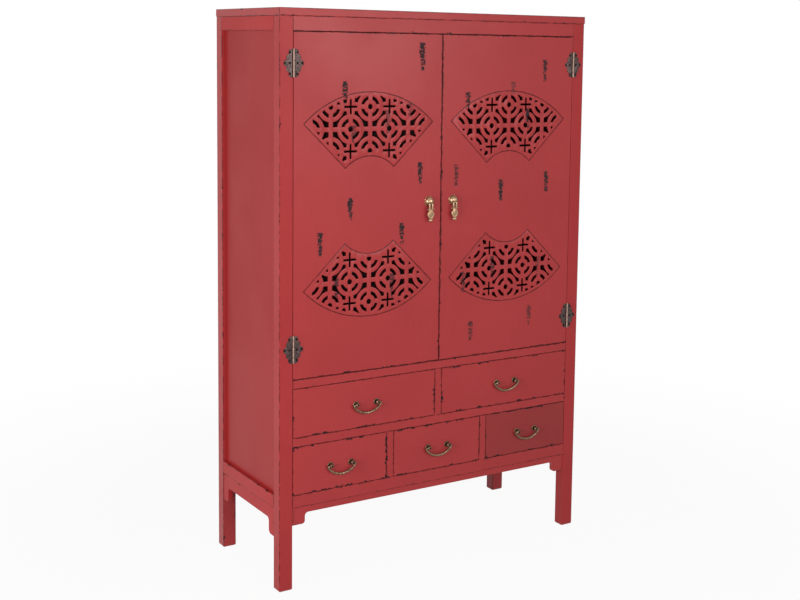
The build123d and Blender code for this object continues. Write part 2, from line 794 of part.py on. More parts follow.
frame_leaves = [right_leaf(z, inward=False) for z in hinge_levels]
nodes["hinge_frame_leaves"] = group(frame_leaves + [mirrored(leaf) for leaf in frame_leaves])
pins = [hinge_pin(z) for z in hinge_levels]
nodes["hinge_pins"] = group(pins + [mirrored(pin) for pin in pins])
frame_nails = [nail(place) for place in nail_places(inward=False)]
nodes["hinge_frame_nails"] = group(frame_nails + [mirrored(one) for one in frame_nails])

door_pieces = {
    "door": right_door(),
    "fret_upper": fan_solid(fret_sketch, door_x, True, fret_thickness),
    "fret_lower": fan_solid(fret_sketch, door_x, False, fret_thickness),
    "knob": right_knob(),
    "drop": right_drop(),
}
for name, piece in door_pieces.items():
    nodes[name + "_right"] = piece
    nodes[name + "_left"] = mirrored(piece)
door_leaves = [right_leaf(z, inward=True) for z in hinge_levels]
nodes["hinge_door_leaves_right"] = group(door_leaves)
nodes["hinge_door_leaves_left"] = group([mirrored(leaf) for leaf in door_leaves])
door_nails = [nail(place) for place in nail_places(inward=True)]
nodes["hinge_door_nails_right"] = group(door_nails)
nodes["hinge_door_nails_left"] = group([mirrored(one) for one in door_nails])

rows = (("upper", upper_drawer_count, (upper_row_z, door_rail_z)),
        ("lower", lower_drawer_count, (lower_row_z, drawer_rail_z)))
for row, count, z_span in rows:
    for index, x_span in enumerate(row_drawer_spans(count), start=1):
        name = f"drawer_{row}_{index}"
        middle_x = (x_span[0] + x_span[1]) / 2
        middle_z = (z_span[0] + z_span[1]) / 2
        nodes[name + "_front"] = drawer_front(x_span, z_span)
        nodes[name + "_box"] = drawer_box(x_span, z_span)
        nodes[name + "_posts"] = group([bail_post(middle_x + side * bail_post_spacing / 2,
                                                  middle_z) for side in (-1, 1)])
        nodes[name + "_bail"] = bail(middle_x, middle_z)

os.makedirs("parts", exist_ok=True)
for name, shape in nodes.items():
    export_step(shape, f"parts/{name}.step")
print(f"{len(nodes)} nodes")
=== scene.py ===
import json
import logging
import math
from collections.abc import Iterable, Mapping, Sequence
from dataclasses import dataclass, field, fields, replace
from enum import Enum
from itertools import count
from typing import ClassVar

import bmesh
import bpy
from mathutils import Matrix, Vector

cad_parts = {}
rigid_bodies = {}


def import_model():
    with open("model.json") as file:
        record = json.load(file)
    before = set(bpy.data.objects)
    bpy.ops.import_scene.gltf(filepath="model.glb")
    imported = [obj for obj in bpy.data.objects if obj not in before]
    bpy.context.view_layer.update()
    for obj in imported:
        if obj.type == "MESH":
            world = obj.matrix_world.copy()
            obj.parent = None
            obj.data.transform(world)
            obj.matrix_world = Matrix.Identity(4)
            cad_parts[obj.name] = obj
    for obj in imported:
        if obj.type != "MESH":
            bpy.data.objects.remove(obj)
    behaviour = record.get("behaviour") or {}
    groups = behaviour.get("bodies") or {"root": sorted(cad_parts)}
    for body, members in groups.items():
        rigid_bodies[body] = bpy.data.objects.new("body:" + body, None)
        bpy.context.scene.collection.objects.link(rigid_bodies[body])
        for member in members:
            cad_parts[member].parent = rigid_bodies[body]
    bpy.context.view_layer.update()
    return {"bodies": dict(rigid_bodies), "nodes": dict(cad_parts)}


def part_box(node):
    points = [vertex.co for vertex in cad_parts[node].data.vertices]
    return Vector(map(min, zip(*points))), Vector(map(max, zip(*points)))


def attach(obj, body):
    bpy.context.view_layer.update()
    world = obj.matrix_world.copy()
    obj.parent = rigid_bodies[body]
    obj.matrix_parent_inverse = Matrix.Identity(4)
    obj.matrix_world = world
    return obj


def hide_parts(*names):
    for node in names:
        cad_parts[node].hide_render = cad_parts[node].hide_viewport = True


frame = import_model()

# Dresses a tall two-door cabinet in worn red lacquer with aged metal fittings.
# Metres. X runs to the cabinet's right, -Y to its front and +Z up from the floor.

LOG = logging.getLogger("cabinet")
MM = 0.001
# Points nearer than this are one point.
WELD = 0.001 * MM
# A length past all of the cabinet.
FAR = 9.0
# Edges of cast metal that turn by more degrees than this stay sharp.
CAST_CREASE = 50.0
Colour = tuple[float, float, float]
Place = tuple[float, float, float]
Box = tuple[Vector, Vector]
Socket = bpy.types.NodeSocket


class Slot(Enum):
    """The record's material slots."""

    LACQUER = "lacquer"
    BRASS = "brass"
    BRONZE = "bronze"


class Side(Enum):
    """The two sides of the cabinet, by the sign of X."""

    LEFT = -1
    RIGHT = 1

    @property
    def label(self) -> str:
        """The word that node names end in."""
        return self.name.lower()


class Stroke(Enum):
    """The way the brush or the grain runs, as a stretch of the pattern's space."""

    UPRIGHT = (1.0, 1.0, 0.08)
    ACROSS = (0.08, 1.0, 1.0)
    DEEP = (1.0, 0.08, 1.0)


def paint(red: int, green: int, blue: int) -> Colour:
    """Turn a paint card's 0 to 255 values into linear light.

    Args:
        red: Red value of the card.
        green: Green value of the card.
        blue: Blue value of the card.

    Returns:
        The three values in linear light.
    """
    def linear(value: int) -> float:
        """One value in linear light."""
        share = value / 255
        return share / 12.92 if share <= 0.04045 else ((share + 0.055) / 1.055) ** 2.4

    return linear(red), linear(green), linear(blue)


# ---------------------------------------------------------------- node trees
class Value:
    """A number in a node tree; arithmetic signs on it add the nodes that work the result out."""

    def __init__(self, graph: "Graph", socket: Socket) -> None:
        """Keep the socket, and the graph that further nodes go into."""
        self.graph = graph
        self.socket = socket

    def __add__(self, other: object) -> "Value":
        """This and another."""
        return self.graph.math("ADD", self, other)

    def __sub__(self, other: object) -> "Value":
        """This less another."""
        return self.graph.math("SUBTRACT", self, other)

    def __rsub__(self, other: object) -> "Value":
        """Another less this."""
        return self.graph.math("SUBTRACT", other, self)

    def __mul__(self, other: object) -> "Value":
        """This times another."""
        return self.graph.math("MULTIPLY", self, other)

    def __rmul__(self, other: object) -> "Value":
        """Another times this."""
        return self.graph.math("MULTIPLY", other, self)

    def __truediv__(self, other: object) -> "Value":
        """This over another."""
        return self.graph.math("DIVIDE", self, other)

    def __mod__(self, other: object) -> "Value":
        """What is left of this over another, never below 0."""
        return self.graph.math("FLOORED_MODULO", self, other)

    def __abs__(self) -> "Value":
        """This without its sign."""
        return self.graph.math("ABSOLUTE", self)

    def __lt__(self, other: object) -> "Value":
        """1 where this is less than another, 0 elsewhere."""
        return self.graph.math("LESS_THAN", self, other)

    def __gt__(self, other: object) -> "Value":
        """1 where this is more than another, 0 elsewhere."""
        return self.graph.math("GREATER_THAN", self, other)


class Graph:
    """Short calls that add and join the nodes of one tree."""

    def __init__(self, tree: bpy.types.NodeTree) -> None:
        """Keep the tree that the nodes go into."""
        self.tree = tree

    def put(self, socket: Socket, value: object) -> None:
        """Join a socket to another, or set its value.

        Args:
            socket: The input socket.
            value: A socket to join it to, or a plain value.
        """
        if isinstance(value, Value):
            value = value.socket
        if isinstance(value, bpy.types.NodeSocket):
            self.tree.links.new(value, socket)
        else:
            socket.default_value = value

    def add(self, kind: str, inputs: Mapping[str | int, object] | None = None,
            **settings: object) -> bpy.types.Node:
        """Add a node.

        Args:
            kind: Blender's name of the node type.
            inputs: Values or sockets for the node's inputs, by name or index.
            settings: Properties of the node.

        Returns:
            The new node.
        """
        node = self.tree.nodes.new(kind)
        for name, value in settings.items():
            setattr(node, name, value)
        for key, value in (inputs or {}).items():
            self.put(node.inputs[key], value)
        return node

    def group(self, tree: bpy.types.NodeTree, inputs: Mapping[str, object]) -> dict[str, Value]:
        """Place a shared group and return its outputs by their names.

        Args:
            tree: The shared group.
            inputs: Values or sockets for its inputs, by name.

        Returns:
            The outputs by their names.
        """
        kind = "GeometryNodeGroup" if tree.bl_idname == "GeometryNodeTree" else "ShaderNodeGroup"
        node = self.add(kind, node_tree=tree)
        for label, value in inputs.items():
            self.put(node.inputs[label], value)
        return {socket.name: Value(self, socket) for socket in node.outputs}

    def math(self, operation: str, *values: object) -> Value:
        """One arithmetic step on numbers."""
        node = self.add("ShaderNodeMath", dict(enumerate(values)), operation=operation)
        return Value(self, node.outputs[0])

    def most(self, first: object, second: object) -> Value:
        """The greater of two numbers."""
        return self.math("MAXIMUM", first, second)

    def least(self, first: object, second: object) -> Value:
        """The smaller of two numbers."""
        return self.math("MINIMUM", first, second)

    def vector(self, operation: str, *values: object) -> Socket:
        """One arithmetic step on vectors."""
        node = self.add("ShaderNodeVectorMath", dict(enumerate(values)), operation=operation)
        return node.outputs["Vector"]

    def measure(self, operation: str, *places: object) -> Value:
        """The length of a vector, or the distance of two places."""
        node = self.add("ShaderNodeVectorMath", dict(enumerate(places)), operation=operation)
        return Value(self, node.outputs["Value"])

    def split(self, value: Socket) -> tuple[Value, Value, Value]:
        """The three parts of a vector."""
        x, y, z = self.add("ShaderNodeSeparateXYZ", {0: value}).outputs
        return Value(self, x), Value(self, y), Value(self, z)

    def combine(self, x: object, y: object, z: object) -> Socket:
        """A vector from its three parts."""
        return self.add("ShaderNodeCombineXYZ", {0: x, 1: y, 2: z}).outputs[0]

    def ramp(self, value: object, low: object, high: object, start: object = 0.0,
             end: object = 1.0) -> Value:
        """Carry a value smoothly from one span to another, held at the ends.

        Args:
            value: The value to carry.
            low: Where the first span starts.
            high: Where the first span ends.
            start: Result at and below low.
            end: Result at and above high.

        Returns:
            The carried value.
        """
        node = self.add("ShaderNodeMapRange", {0: value, 1: low, 2: high, 3: start, 4: end},
                        interpolation_type="SMOOTHSTEP")
        return Value(self, node.outputs[0])

    def noise(self, place: Socket, scale: object, detail: float = 2.0,
              roughness: float = 0.5) -> Value:
        """Soft random value from 0 to 1.

        Args:
            place: Where the pattern is read.
            scale: Fineness of the pattern.
            detail: Number of finer layers.
            roughness: Strength of the finer layers.

        Returns:
            The random value.
        """
        node = self.add("ShaderNodeTexNoise", {"Vector": place, "Scale": scale, "Detail": detail,
                                               "Roughness": roughness})
        return Value(self, node.outputs["Fac"])

    def mix(self, share: object, first: object, second: object) -> Socket:
        """Blend two colours."""
        return self.add("ShaderNodeMix", {0: share, 6: colour4(first), 7: colour4(second)},
                        data_type="RGBA").outputs[2]


def colour4(value: object) -> object:
    """A colour with its alpha, or a socket as it is."""
    return (*value, 1.0) if isinstance(value, tuple) and len(value) == 3 else value


SOCKETS = {"value": "NodeSocketFloat", "whole": "NodeSocketInt", "vector": "NodeSocketVector",
           "colour": "NodeSocketColor", "shape": "NodeSocketGeometry",
           "material": "NodeSocketMaterial"}


class Tree(Graph):
    """A reusable node group with named inputs and outputs."""

    def __init__(self, name: str, kind: str, inputs: Mapping[str, str],
                 outputs: Mapping[str, str]) -> None:
        """Open a new group.

        Args:
            name: Name of the group.
            kind: ShaderNodeTree or GeometryNodeTree.
            inputs: Kind of each input, by its name.
            outputs: Kind of each output, by its name.
        """
        super().__init__(bpy.data.node_groups.new(name, kind))
        for label, sort in inputs.items():
            self.tree.interface.new_socket(label, in_out="INPUT", socket_type=SOCKETS[sort])
        for label, sort in outputs.items():
            self.tree.interface.new_socket(label, in_out="OUTPUT", socket_type=SOCKETS[sort])
        self.given = {socket.name: Value(self, socket) if inputs.get(socket.name) == "value"
                      else socket for socket in self.add("NodeGroupInput").outputs}
        self.result = self.add("NodeGroupOutput").inputs

    def seeded(self) -> Socket:
        """The group's place, moved by its seed."""
        return self.vector("ADD", self.given["Vector"], self.combine(*[self.given["Seed"]] * 3))

    def moved(self, shape: Socket, **change: object) -> Socket:
        """A shape with a Translation, Rotation or Scale."""
        return self.add("GeometryNodeTransform", {"Geometry": shape, **change}).outputs[0]

    def joined(self, *parts: Socket) -> Socket:
        """Some shapes as one.

        Args:
            parts: The shapes.

        Returns:
            The joined shape.
        """
        whole = self.add("GeometryNodeJoinGeometry")
        for part in parts:
            self.put(whole.inputs[0], part)
        return whole.outputs[0]

    def real(self, shape: Socket) -> Socket:
        """Instances made real."""
        return self.add("GeometryNodeRealizeInstances", {0: shape}).outputs[0]

    def finished(self, shape: Socket) -> bpy.types.NodeTree:
        """Close the tree on a shape that wears the given material.

        Args:
            shape: The finished shape.

        Returns:
            The tree.
        """
        made = self.add("GeometryNodeSetMaterial", {"Geometry": shape,
                                                    "Material": self.given["Material"]})
        return self.close(Geometry=made.outputs[0])

    def close(self, **results: Socket | Value) -> bpy.types.NodeTree:
        """Join the group's outputs, spaces in their names written as underscores.

        Args:
            results: Socket of each output, by its name.

        Returns:
            The tree.
        """
        for label, socket in results.items():
            self.put(self.result[label.replace("_", " ")], socket)
        return self.tree


# ---------------------------------------------------------------- shared effects
class Effects:
    """The shader node groups that the finishes share, each built once."""

    def __init__(self) -> None:
        """Build all the groups."""
        self.box_edges = self._box_edges()
        self.edge_wear = self._edge_wear()
        self.brushed_paint = self._brushed_paint()
        self.scuff = self._scuff()
        self.wood_grain = self._wood_grain()
        self.patina = self._patina()
        self.fan_edge = self._fan_edge()
        self.nail_stain = self._nail_stain()

    @staticmethod
    def _box_edges() -> bpy.types.NodeTree:
        """Distance from a point on a box to the box's nearest edge.

        Returns:
            The group.
        """
        tree = Tree("box_edges", "ShaderNodeTree",
                    {"Vector": "vector", "Low": "vector", "High": "vector"},
                    {"Distance": "value"})
        given = tree.given
        place = given["Vector"]
        inside = tree.vector("MINIMUM", tree.vector("SUBTRACT", place, given["Low"]),
                             tree.vector("SUBTRACT", given["High"], place))
        x, y, z = tree.split(inside)
        smaller = tree.least(x, y)
        middle = tree.most(smaller, tree.least(tree.most(x, y), z))
        elsewhere = tree.least(smaller, z) < -1.0 * MM
        return tree.close(Distance=middle - elsewhere)

    @staticmethod
    def _edge_wear() -> bpy.types.NodeTree:
        """A thin line rubbed through along edges, and here and there a chip.

        Returns:
            The group.
        """
        tree = Tree("edge_wear", "ShaderNodeTree",
                    {"Vector": "vector", "Distance": "value", "Rub Width": "value",
                     "Chip Width": "value", "Chip Amount": "value", "Seed": "value"},
                    {"Rub": "value", "Chip": "value"})
        given = tree.given
        place = tree.seeded()
        ragged = tree.ramp(tree.noise(place, 120.0, 3.0, 0.7), 0.36, 0.62, 0.15, 1.3)
        threshold = 0.7 - 0.3 * given["Chip Amount"]
        here = tree.ramp(tree.noise(place, 22.0, 4.0, 0.7), threshold, threshold + 0.03)
        width = here * ragged * given["Chip Width"]
        chip = tree.ramp(width - given["Distance"], 0.1 * MM, 0.6 * MM)
        line = given["Rub Width"] * tree.ramp(tree.noise(place, 55.0, 3.0, 0.6), 0.35, 0.65, 0.2,
                                              1.5)
        rub = tree.ramp(line - given["Distance"], -0.2 * MM, 0.6 * MM)
        return tree.close(Rub=rub, Chip=chip)

    @staticmethod
    def _brushed_paint() -> bpy.types.NodeTree:
        """Paint with soft clouds and faint brush marks.

        Returns:
            The group.
        """
        tree = Tree("brushed_paint", "ShaderNodeTree",
                    {"Vector": "vector", "Stroke": "vector", "Paint": "colour",
                     "Shade": "colour", "Seed": "value"},
                    {"Colour": "colour", "Height": "value", "Dull": "value"})
        given = tree.given
        place = tree.seeded()
        streaks = tree.noise(tree.vector("MULTIPLY", place, given["Stroke"]), 260.0, 3.0)
        clouds = tree.ramp(tree.noise(place, 3.1, 3.0, 0.6), 0.35, 0.7)
        share = clouds * 0.55 + tree.ramp(streaks, 0.35, 0.7, 0.0, 0.3)
        peel = tree.noise(place, 420.0, 2.0)
        height = streaks * (0.035 * MM) + peel * (0.02 * MM)
        return tree.close(Colour=tree.mix(share, given["Paint"], given["Shade"]), Height=height,
                          Dull=clouds)

    @staticmethod
    def _scuff() -> bpy.types.NodeTree:
        """One ragged upright mark where the paint was scraped off a front face.

        Returns:
            The group.
        """
        tree = Tree("scuff", "ShaderNodeTree",
                    {"Vector": "vector", "Ragged": "value", "Grit": "value", "Middle": "value",
                     "Top": "value", "Length": "value", "Half Width": "value", "Lean": "value",
                     "Strength": "value"},
                    {"Mask": "value"})
        given = tree.given
        x, _, z = tree.split(given["Vector"])
        down = (given["Top"] - z) / given["Length"]
        centre = given["Middle"] + down * given["Lean"]
        aside = abs(x - centre)
        shape = given["Half Width"] * tree.ramp(down, 0.2, 1.0, 1.1, 0.8)
        reach = shape * tree.ramp(given["Ragged"], 0.36, 0.62, 0.5, 1.3)
        band = tree.ramp(reach - aside, -0.5 * MM, 0.9 * MM)
        ends = tree.ramp(down, -0.03, 0.03) * tree.ramp(down, 0.95, 1.03, 1.0, 0.0)
        start = tree.ramp(down, 0.1, 0.8, 0.35, 0.41)
        bare = tree.ramp(given["Grit"], start, start + 0.08)
        mask = band * ends * bare
        return tree.close(Mask=mask * given["Strength"])

    @staticmethod
    def _wood_grain() -> bpy.types.NodeTree:
        """Straight timber grain with pores.

        Returns:
            The group.
        """
        tree = Tree("wood_grain", "ShaderNodeTree",
                    {"Vector": "vector", "Stroke": "vector", "Light": "colour",
                     "Dark": "colour", "Seed": "value"},
                    {"Colour": "colour", "Height": "value"})
        given = tree.given
        place = tree.seeded()
        along = tree.vector("MULTIPLY", place, given["Stroke"])
        rings = tree.noise(along, 42.0, 4.0, 0.55)
        pores = tree.ramp(tree.noise(along, 520.0, 2.0, 0.6), 0.5, 0.68)
        share = tree.most(tree.ramp(rings, 0.35, 0.65), pores * 0.8)
        height = pores * (-0.08 * MM)
        return tree.close(Colour=tree.mix(share, given["Light"], given["Dark"]), Height=height)

    @staticmethod
    def _patina() -> bpy.types.NodeTree:
        """Aged metal: bright where it is handled, dark and dull in its hollows.

        Returns:
            The group.
        """
        tree = Tree("patina", "ShaderNodeTree",
                    {"Vector": "vector", "Bright": "colour", "Dark": "colour",
                     "Recess": "value", "Scale": "value"},
                    {"Colour": "colour", "Dull": "value", "Height": "value"})
        given = tree.given
        grain = tree.noise(given["Vector"], given["Scale"], 4.0, 0.65)
        spots = tree.ramp(grain, 0.42, 0.66, 0.0, 0.75)
        dull = tree.most(spots, given["Recess"])
        height = grain * (0.12 * MM)
        return tree.close(Colour=tree.mix(dull, given["Bright"], given["Dark"]), Dull=dull,
                          Height=height)

    @staticmethod
    def _fan_edge() -> bpy.types.NodeTree:
        """Distance from a point on a door's face to the outline of a fan.

        Returns:
            The group.
        """
        tree = Tree("fan_edge", "ShaderNodeTree",
                    {"Vector": "vector", "Centre": "vector", "Way": "value", "Outer": "value",
                     "Inner": "value", "Half Angle": "value"},
                    {"Distance": "value"})
        given = tree.given
        across, _, up = tree.split(tree.vector("SUBTRACT", given["Vector"], given["Centre"]))
        up = up * given["Way"]
        radius = tree.measure("LENGTH", tree.combine(across, up, 0.0))
        aside = (abs(across) * tree.math("COSINE", given["Half Angle"])
                 - up * tree.math("SINE", given["Half Angle"]))
        arcs = tree.most(radius - given["Outer"], given["Inner"] - radius)
        return tree.close(Distance=abs(tree.most(arcs, aside)))

    @staticmethod
    def _nail_stain() -> bpy.types.NodeTree:
        """Dark stains round the nails of a pair of hinges, and painted shade along the barrel.

        Returns:
            The group.
        """
        tree = Tree("nail_stain", "ShaderNodeTree",
                    {"Vector": "vector", "Axis": "vector", "Spread": "value",
                     "Inner Reach": "value", "Outer Reach": "value", "End Height": "value",
                     "Barrel": "value"},
                    {"Mask": "value", "Barrel Reach": "value"})
        given = tree.given
        x, y, z = tree.split(given["Vector"])
        axis_x, axis_y, middle = tree.split(given["Axis"])
        across = abs(abs(x) - axis_x)
        up = abs(abs(z - middle) - given["Spread"])
        place = tree.combine(across, up, 0.0)
        near = None
        for reach, height in ((given["Inner Reach"], given["End Height"]),
                              (given["Inner Reach"], 0.0), (given["Outer Reach"], 0.0)):
            found = tree.measure("DISTANCE", place, tree.combine(reach, height, 0.0))
            near = tree.least(near, found) if near else found
        rough = tree.ramp(tree.noise(given["Vector"], 300.0), 0.3, 0.7, 3.0 * MM, 5.0 * MM)
        stain = tree.ramp(near - rough, -1.0 * MM, 0.6 * MM, 1.0, 0.0)
        # Painted shade: a dark band beside the barrel, where the leaf meets it.
        round_axis = tree.measure("LENGTH", tree.combine(across, y - axis_y, 0.0))
        groove = tree.ramp(round_axis, given["Barrel"] + 2.2 * MM, given["Barrel"] + 3.4 * MM, 0.9,
                           0.0)
        return tree.close(Mask=tree.most(stain, groove), Barrel_Reach=round_axis)


# ---------------------------------------------------------------- finishes
def new_material(name: str) -> tuple[bpy.types.Material, Graph, bpy.types.Node, Socket]:
    """Open a material.

    Args:
        name: Name of the material.

    Returns:
        The material, its graph, its Principled shader and its Object coordinates.
    """
    material = bpy.data.materials.new(name)
    material.use_nodes = True
    material.node_tree.nodes.clear()
    graph = Graph(material.node_tree)
    shader = graph.add("ShaderNodeBsdfPrincipled")
    graph.add("ShaderNodeOutputMaterial", {"Surface": shader.outputs[0]})
    place = graph.add("ShaderNodeTexCoord").outputs["Object"]
    return material, graph, shader, place


def inputs_of(plan: object) -> dict[str, object]:
    """The fields of a plan, by the names of the group inputs that take them."""
    return {item.name.replace("_", " ").title(): getattr(plan, item.name)
            for item in fields(plan)}


def set_surface(graph: Graph, shader: bpy.types.Node, colour: Socket, roughness: object,
                height: Value, strength: float) -> None:
    """Give a Principled shader its colour, its roughness and its fine relief.

    Args:
        graph: The material's graph.
        shader: The material's Principled shader.
        colour: The surface's colour.
        roughness: The surface's roughness, one value or a socket.
        height: Height of the relief in metres.
        strength: Strength of the relief.
    """
    bump = graph.add("ShaderNodeBump", {"Strength": strength, "Distance": 1.0, "Height": height})
    graph.put(shader.inputs["Base Color"], colour)
    graph.put(shader.inputs["Roughness"], roughness)
    graph.put(shader.inputs["Normal"], bump.outputs[0])


@dataclass(frozen=True)
class ScuffMark:
    """Where one scrape lies on the front, and its size, as the scuff group's inputs by name."""

    middle: float
    top: float
    length: float
    strength: float = 1.0
    half_width: float = 8.0 * MM
    lean: float = 1.5 * MM


@dataclass(frozen=True)
class FanOutline:
    """Where one fan lies on a door's face; its way is 1 upwards and -1 downwards."""

    centre: Place
    way: float
    outer: float
    inner: float
    half_angle: float


@dataclass(frozen=True)
class Lacquer:
    """Satin red paint over a dark ground, worn at the edges."""

    tone: Colour = paint(175, 58, 59)
    shade: Colour = paint(165, 53, 54)
    rubbed: Colour = paint(70, 20, 20)
    ground: Colour = paint(28, 15, 17)
    scraped: Colour = paint(42, 30, 33)
    roughness: float = 0.33
    gloss: float = 0.2
    rub_width: float = 1.5 * MM
    rub_strength: float = 0.5
    fan_strength: float = 0.7
    fan_line: float = 1.5 * MM
    chip_width: float = 4.6 * MM
    scrape_depth: float = 0.25 * MM
    relief: float = 0.6
    # Painted shade inside the openings of a pierced face: its strength, and the depth over which it
    # grows.
    hole_strength: float = 0.85
    hole_depth: float = 2.2 * MM
    dull_rise: float = 0.06
    bare_roughness: float = 0.7

    def material(self, effects: Effects, name: str, boxes: Sequence[Box], stroke: Stroke,
                 seed: float, chips: float = 0.5, scuffs: Sequence[ScuffMark] = (),
                 fans: Sequence[FanOutline] = (), hole_face: float | None = None
                 ) -> bpy.types.Material:
        """Mix the paint for one piece.

        Args:
            effects: The shared shader groups.
            name: Name of the material.
            boxes: Boxes whose edges wear.
            stroke: The way the brush runs.
            seed: Moves the random patterns.
            chips: Share of the edges that is chipped, from 0 to 1.
            scuffs: Scrapes on the front face.
            fans: Fans whose outline is drawn as a thin dark line.
            hole_face: Y of a pierced face; the walls of its openings get painted shade, darker the
                deeper they lie.

        Returns:
            The finished material.
        """
        material, graph, shader, place = new_material(name)
        coat = graph.group(effects.brushed_paint, {
            "Vector": place, "Stroke": stroke.value, "Paint": colour4(self.tone),
            "Shade": colour4(self.shade), "Seed": seed})
        colour, height = coat["Colour"], coat["Height"]
        bare = None
        # Painted shade: the walls of the openings turn towards the ground colour the deeper they lie
        # behind the face.
        if hole_face is not None:
            deep = graph.split(place)[1] - hole_face
            colour = graph.mix(graph.ramp(deep, 0.1 * MM, self.hole_depth, 0.0,
                                          self.hole_strength), colour, self.ground)
        if fans:
            line = self._fan_lines(graph, effects, place, fans)
            colour = graph.mix(line * self.fan_strength, colour, self.rubbed)
        if boxes:
            rub, bare = self._edges(graph, effects, place, boxes, seed, chips)
            colour = graph.mix(rub * self.rub_strength, colour, self.rubbed)
            colour = graph.mix(bare, colour, self.ground)
        if scuffs:
            scrape = self._scrapes(graph, effects, place, scuffs)
            colour = graph.mix(scrape, colour, self.scraped)
            bare = graph.most(bare, scrape) if bare else scrape
        rough = graph.ramp(coat["Dull"], 0.0, 1.0, self.roughness, self.roughness + self.dull_rise)
        if bare:
            rough = graph.most(rough, bare * self.bare_roughness)
            height = height - bare * self.scrape_depth
        set_surface(graph, shader, colour, rough, height, self.relief)
        shader.inputs["Specular IOR Level"].default_value = self.gloss
        return material

    def _edges(self, graph: Graph, effects: Effects, place: Socket, boxes: Sequence[Box],
               seed: float, chips: float) -> tuple[Value, Value]:
        """The rubbed line and the chips along the edges of some boxes.

        Args:
            graph: The material's graph.
            effects: The shared shader groups.
            place: Object coordinates of the painted point.
            boxes: Boxes whose edges wear.
            seed: Moves the random patterns.
            chips: Share of the edges that is chipped, from 0 to 1.

        Returns:
            Share of rubbed paint, and share of chipped paint.
        """
        nearest = None
        for low, high in boxes:
            found = graph.group(effects.box_edges, {"Vector": place, "Low": low,
                                                    "High": high})["Distance"]
            nearest = graph.most(nearest, found) if nearest else found
        off = (nearest < -0.5 * MM) * FAR
        wear = graph.group(effects.edge_wear,
                           {"Vector": place, "Distance": nearest + off, "Rub Width": self.rub_width,
                            "Chip Width": self.chip_width, "Chip Amount": chips, "Seed": seed})
        return wear["Rub"], wear["Chip"]

    def _fan_lines(self, graph: Graph, effects: Effects, place: Socket,
                   fans: Sequence[FanOutline]) -> Value:
        """A thin dark line along the outline of each fan.

        Args:
            graph: The material's graph.
            effects: The shared shader groups.
            place: Object coordinates of the painted point.
            fans: Fans whose outline is drawn as a thin dark line.

        Returns:
            Share of the dark line.
        """
        nearest = None
        for fan in fans:
            found = graph.group(effects.fan_edge, {"Vector": place, **inputs_of(fan)})["Distance"]
            nearest = graph.least(nearest, found) if nearest else found
        uneven = graph.ramp(graph.noise(place, 40.0, 3.0), 0.3, 0.7, 0.7, 1.5)
        width = uneven * self.fan_line
        return graph.ramp(width - nearest, -0.3 * MM, 0.5 * MM)

    @staticmethod
    def _scrapes(graph: Graph, effects: Effects, place: Socket,
                 scuffs: Sequence[ScuffMark]) -> Value:
        """All the scrapes of one front, kept off the faces that look elsewhere.

        Args:
            graph: The material's graph.
            effects: The shared shader groups.
            place: Object coordinates of the painted point.
            scuffs: Scrapes on the front face.

        Returns:
            Share of scraped paint.
        """
        ragged = graph.noise(place, 110.0, 3.0, 0.7)
        grit = graph.noise(graph.vector("MULTIPLY", place, (0.5, 1.0, 1.0)), 210.0, 3.0, 0.6)
        total = None
        for mark in scuffs:
            mask = graph.group(effects.scuff, {"Vector": place, "Ragged": ragged, "Grit": grit,
                                               **inputs_of(mark)})["Mask"]
            total = graph.most(total, mask) if total else mask
        facing = graph.split(graph.add("ShaderNodeTexCoord").outputs["Normal"])[1]
        return total * (facing < -0.7)


@dataclass(frozen=True)
class StainedWood:
    """Dark stained timber, matt."""

    light: Colour = paint(74, 46, 34)
    dark: Colour = paint(40, 25, 20)
    roughness: float = 0.6
    relief: float = 0.7

    def material(self, effects: Effects, name: str, stroke: Stroke,
                 seed: float) -> bpy.types.Material:
        """Stain one piece.

        Args:
            effects: The shared shader groups.
            name: Name of the material.
            stroke: The way the grain runs.
            seed: Moves the random patterns.

        Returns:
            The finished material.
        """
        material, graph, shader, place = new_material(name)
        grain = graph.group(effects.wood_grain, {
            "Vector": place, "Stroke": stroke.value, "Light": colour4(self.light),
            "Dark": colour4(self.dark), "Seed": seed})
        set_surface(graph, shader, grain["Colour"], self.roughness, grain["Height"], self.relief)
        return material


RECESS = "recess"


@dataclass(frozen=True)
class HingePlan:
    """Where a pair of hinges has its axis (its third value is the level midway) and its nails."""

    axis: Place
    spread: float
    inner_reach: float
    outer_reach: float
    end_height: float
    barrel: float


@dataclass(frozen=True)
class AgedMetal:
    """Cast or sheet metal, bright on its high parts and dark in its hollows."""

    bright: Colour
    dark: Colour
    roughness: float
    dullness: float
    scale: float = 160.0
    rubbed: Colour | None = None
    relief: float = 0.5

    def material(self, effects: Effects, name: str, hollows: bool = False,
                 hinges: HingePlan | None = None) -> bpy.types.Material:
        """Age one kind of fitting.

        Args:
            effects: The shared shader groups.
            name: Name of the material.
            hollows: Whether the piece carries the attribute that marks its hollows.
            hinges: Plan of the hinges, whose nails stain the plates, beside whose barrels lies a
                band of painted shade, and whose barrels are bright.

        Returns:
            The finished material.
        """
        material, graph, shader, place = new_material(name)
        recess, barrel = 0.0, None
        if hollows:
            recess = graph.add("ShaderNodeAttribute", attribute_name=RECESS).outputs["Fac"]
        if hinges:
            stain = graph.group(effects.nail_stain, {"Vector": place, **inputs_of(hinges)})
            # The mask holds the nail stains and the painted shade beside the barrels.
            recess, barrel = stain["Mask"], stain["Barrel Reach"]
        aged = graph.group(effects.patina, {
            "Vector": place, "Bright": colour4(self.bright), "Dark": colour4(self.dark),
            "Recess": recess, "Scale": self.scale})
        colour, dull = aged["Colour"], aged["Dull"]
        if hinges and self.rubbed:
            bright = graph.ramp(barrel, hinges.barrel, hinges.barrel + 0.3 * MM, 1.0, 0.0)
            colour = graph.mix(bright, colour, self.rubbed)
        rough = graph.ramp(dull, 0.0, 1.0, self.roughness, self.dullness)
        set_surface(graph, shader, colour, rough, aged["Height"], self.relief)
        shader.inputs["Metallic"].default_value = 1.0
        return material


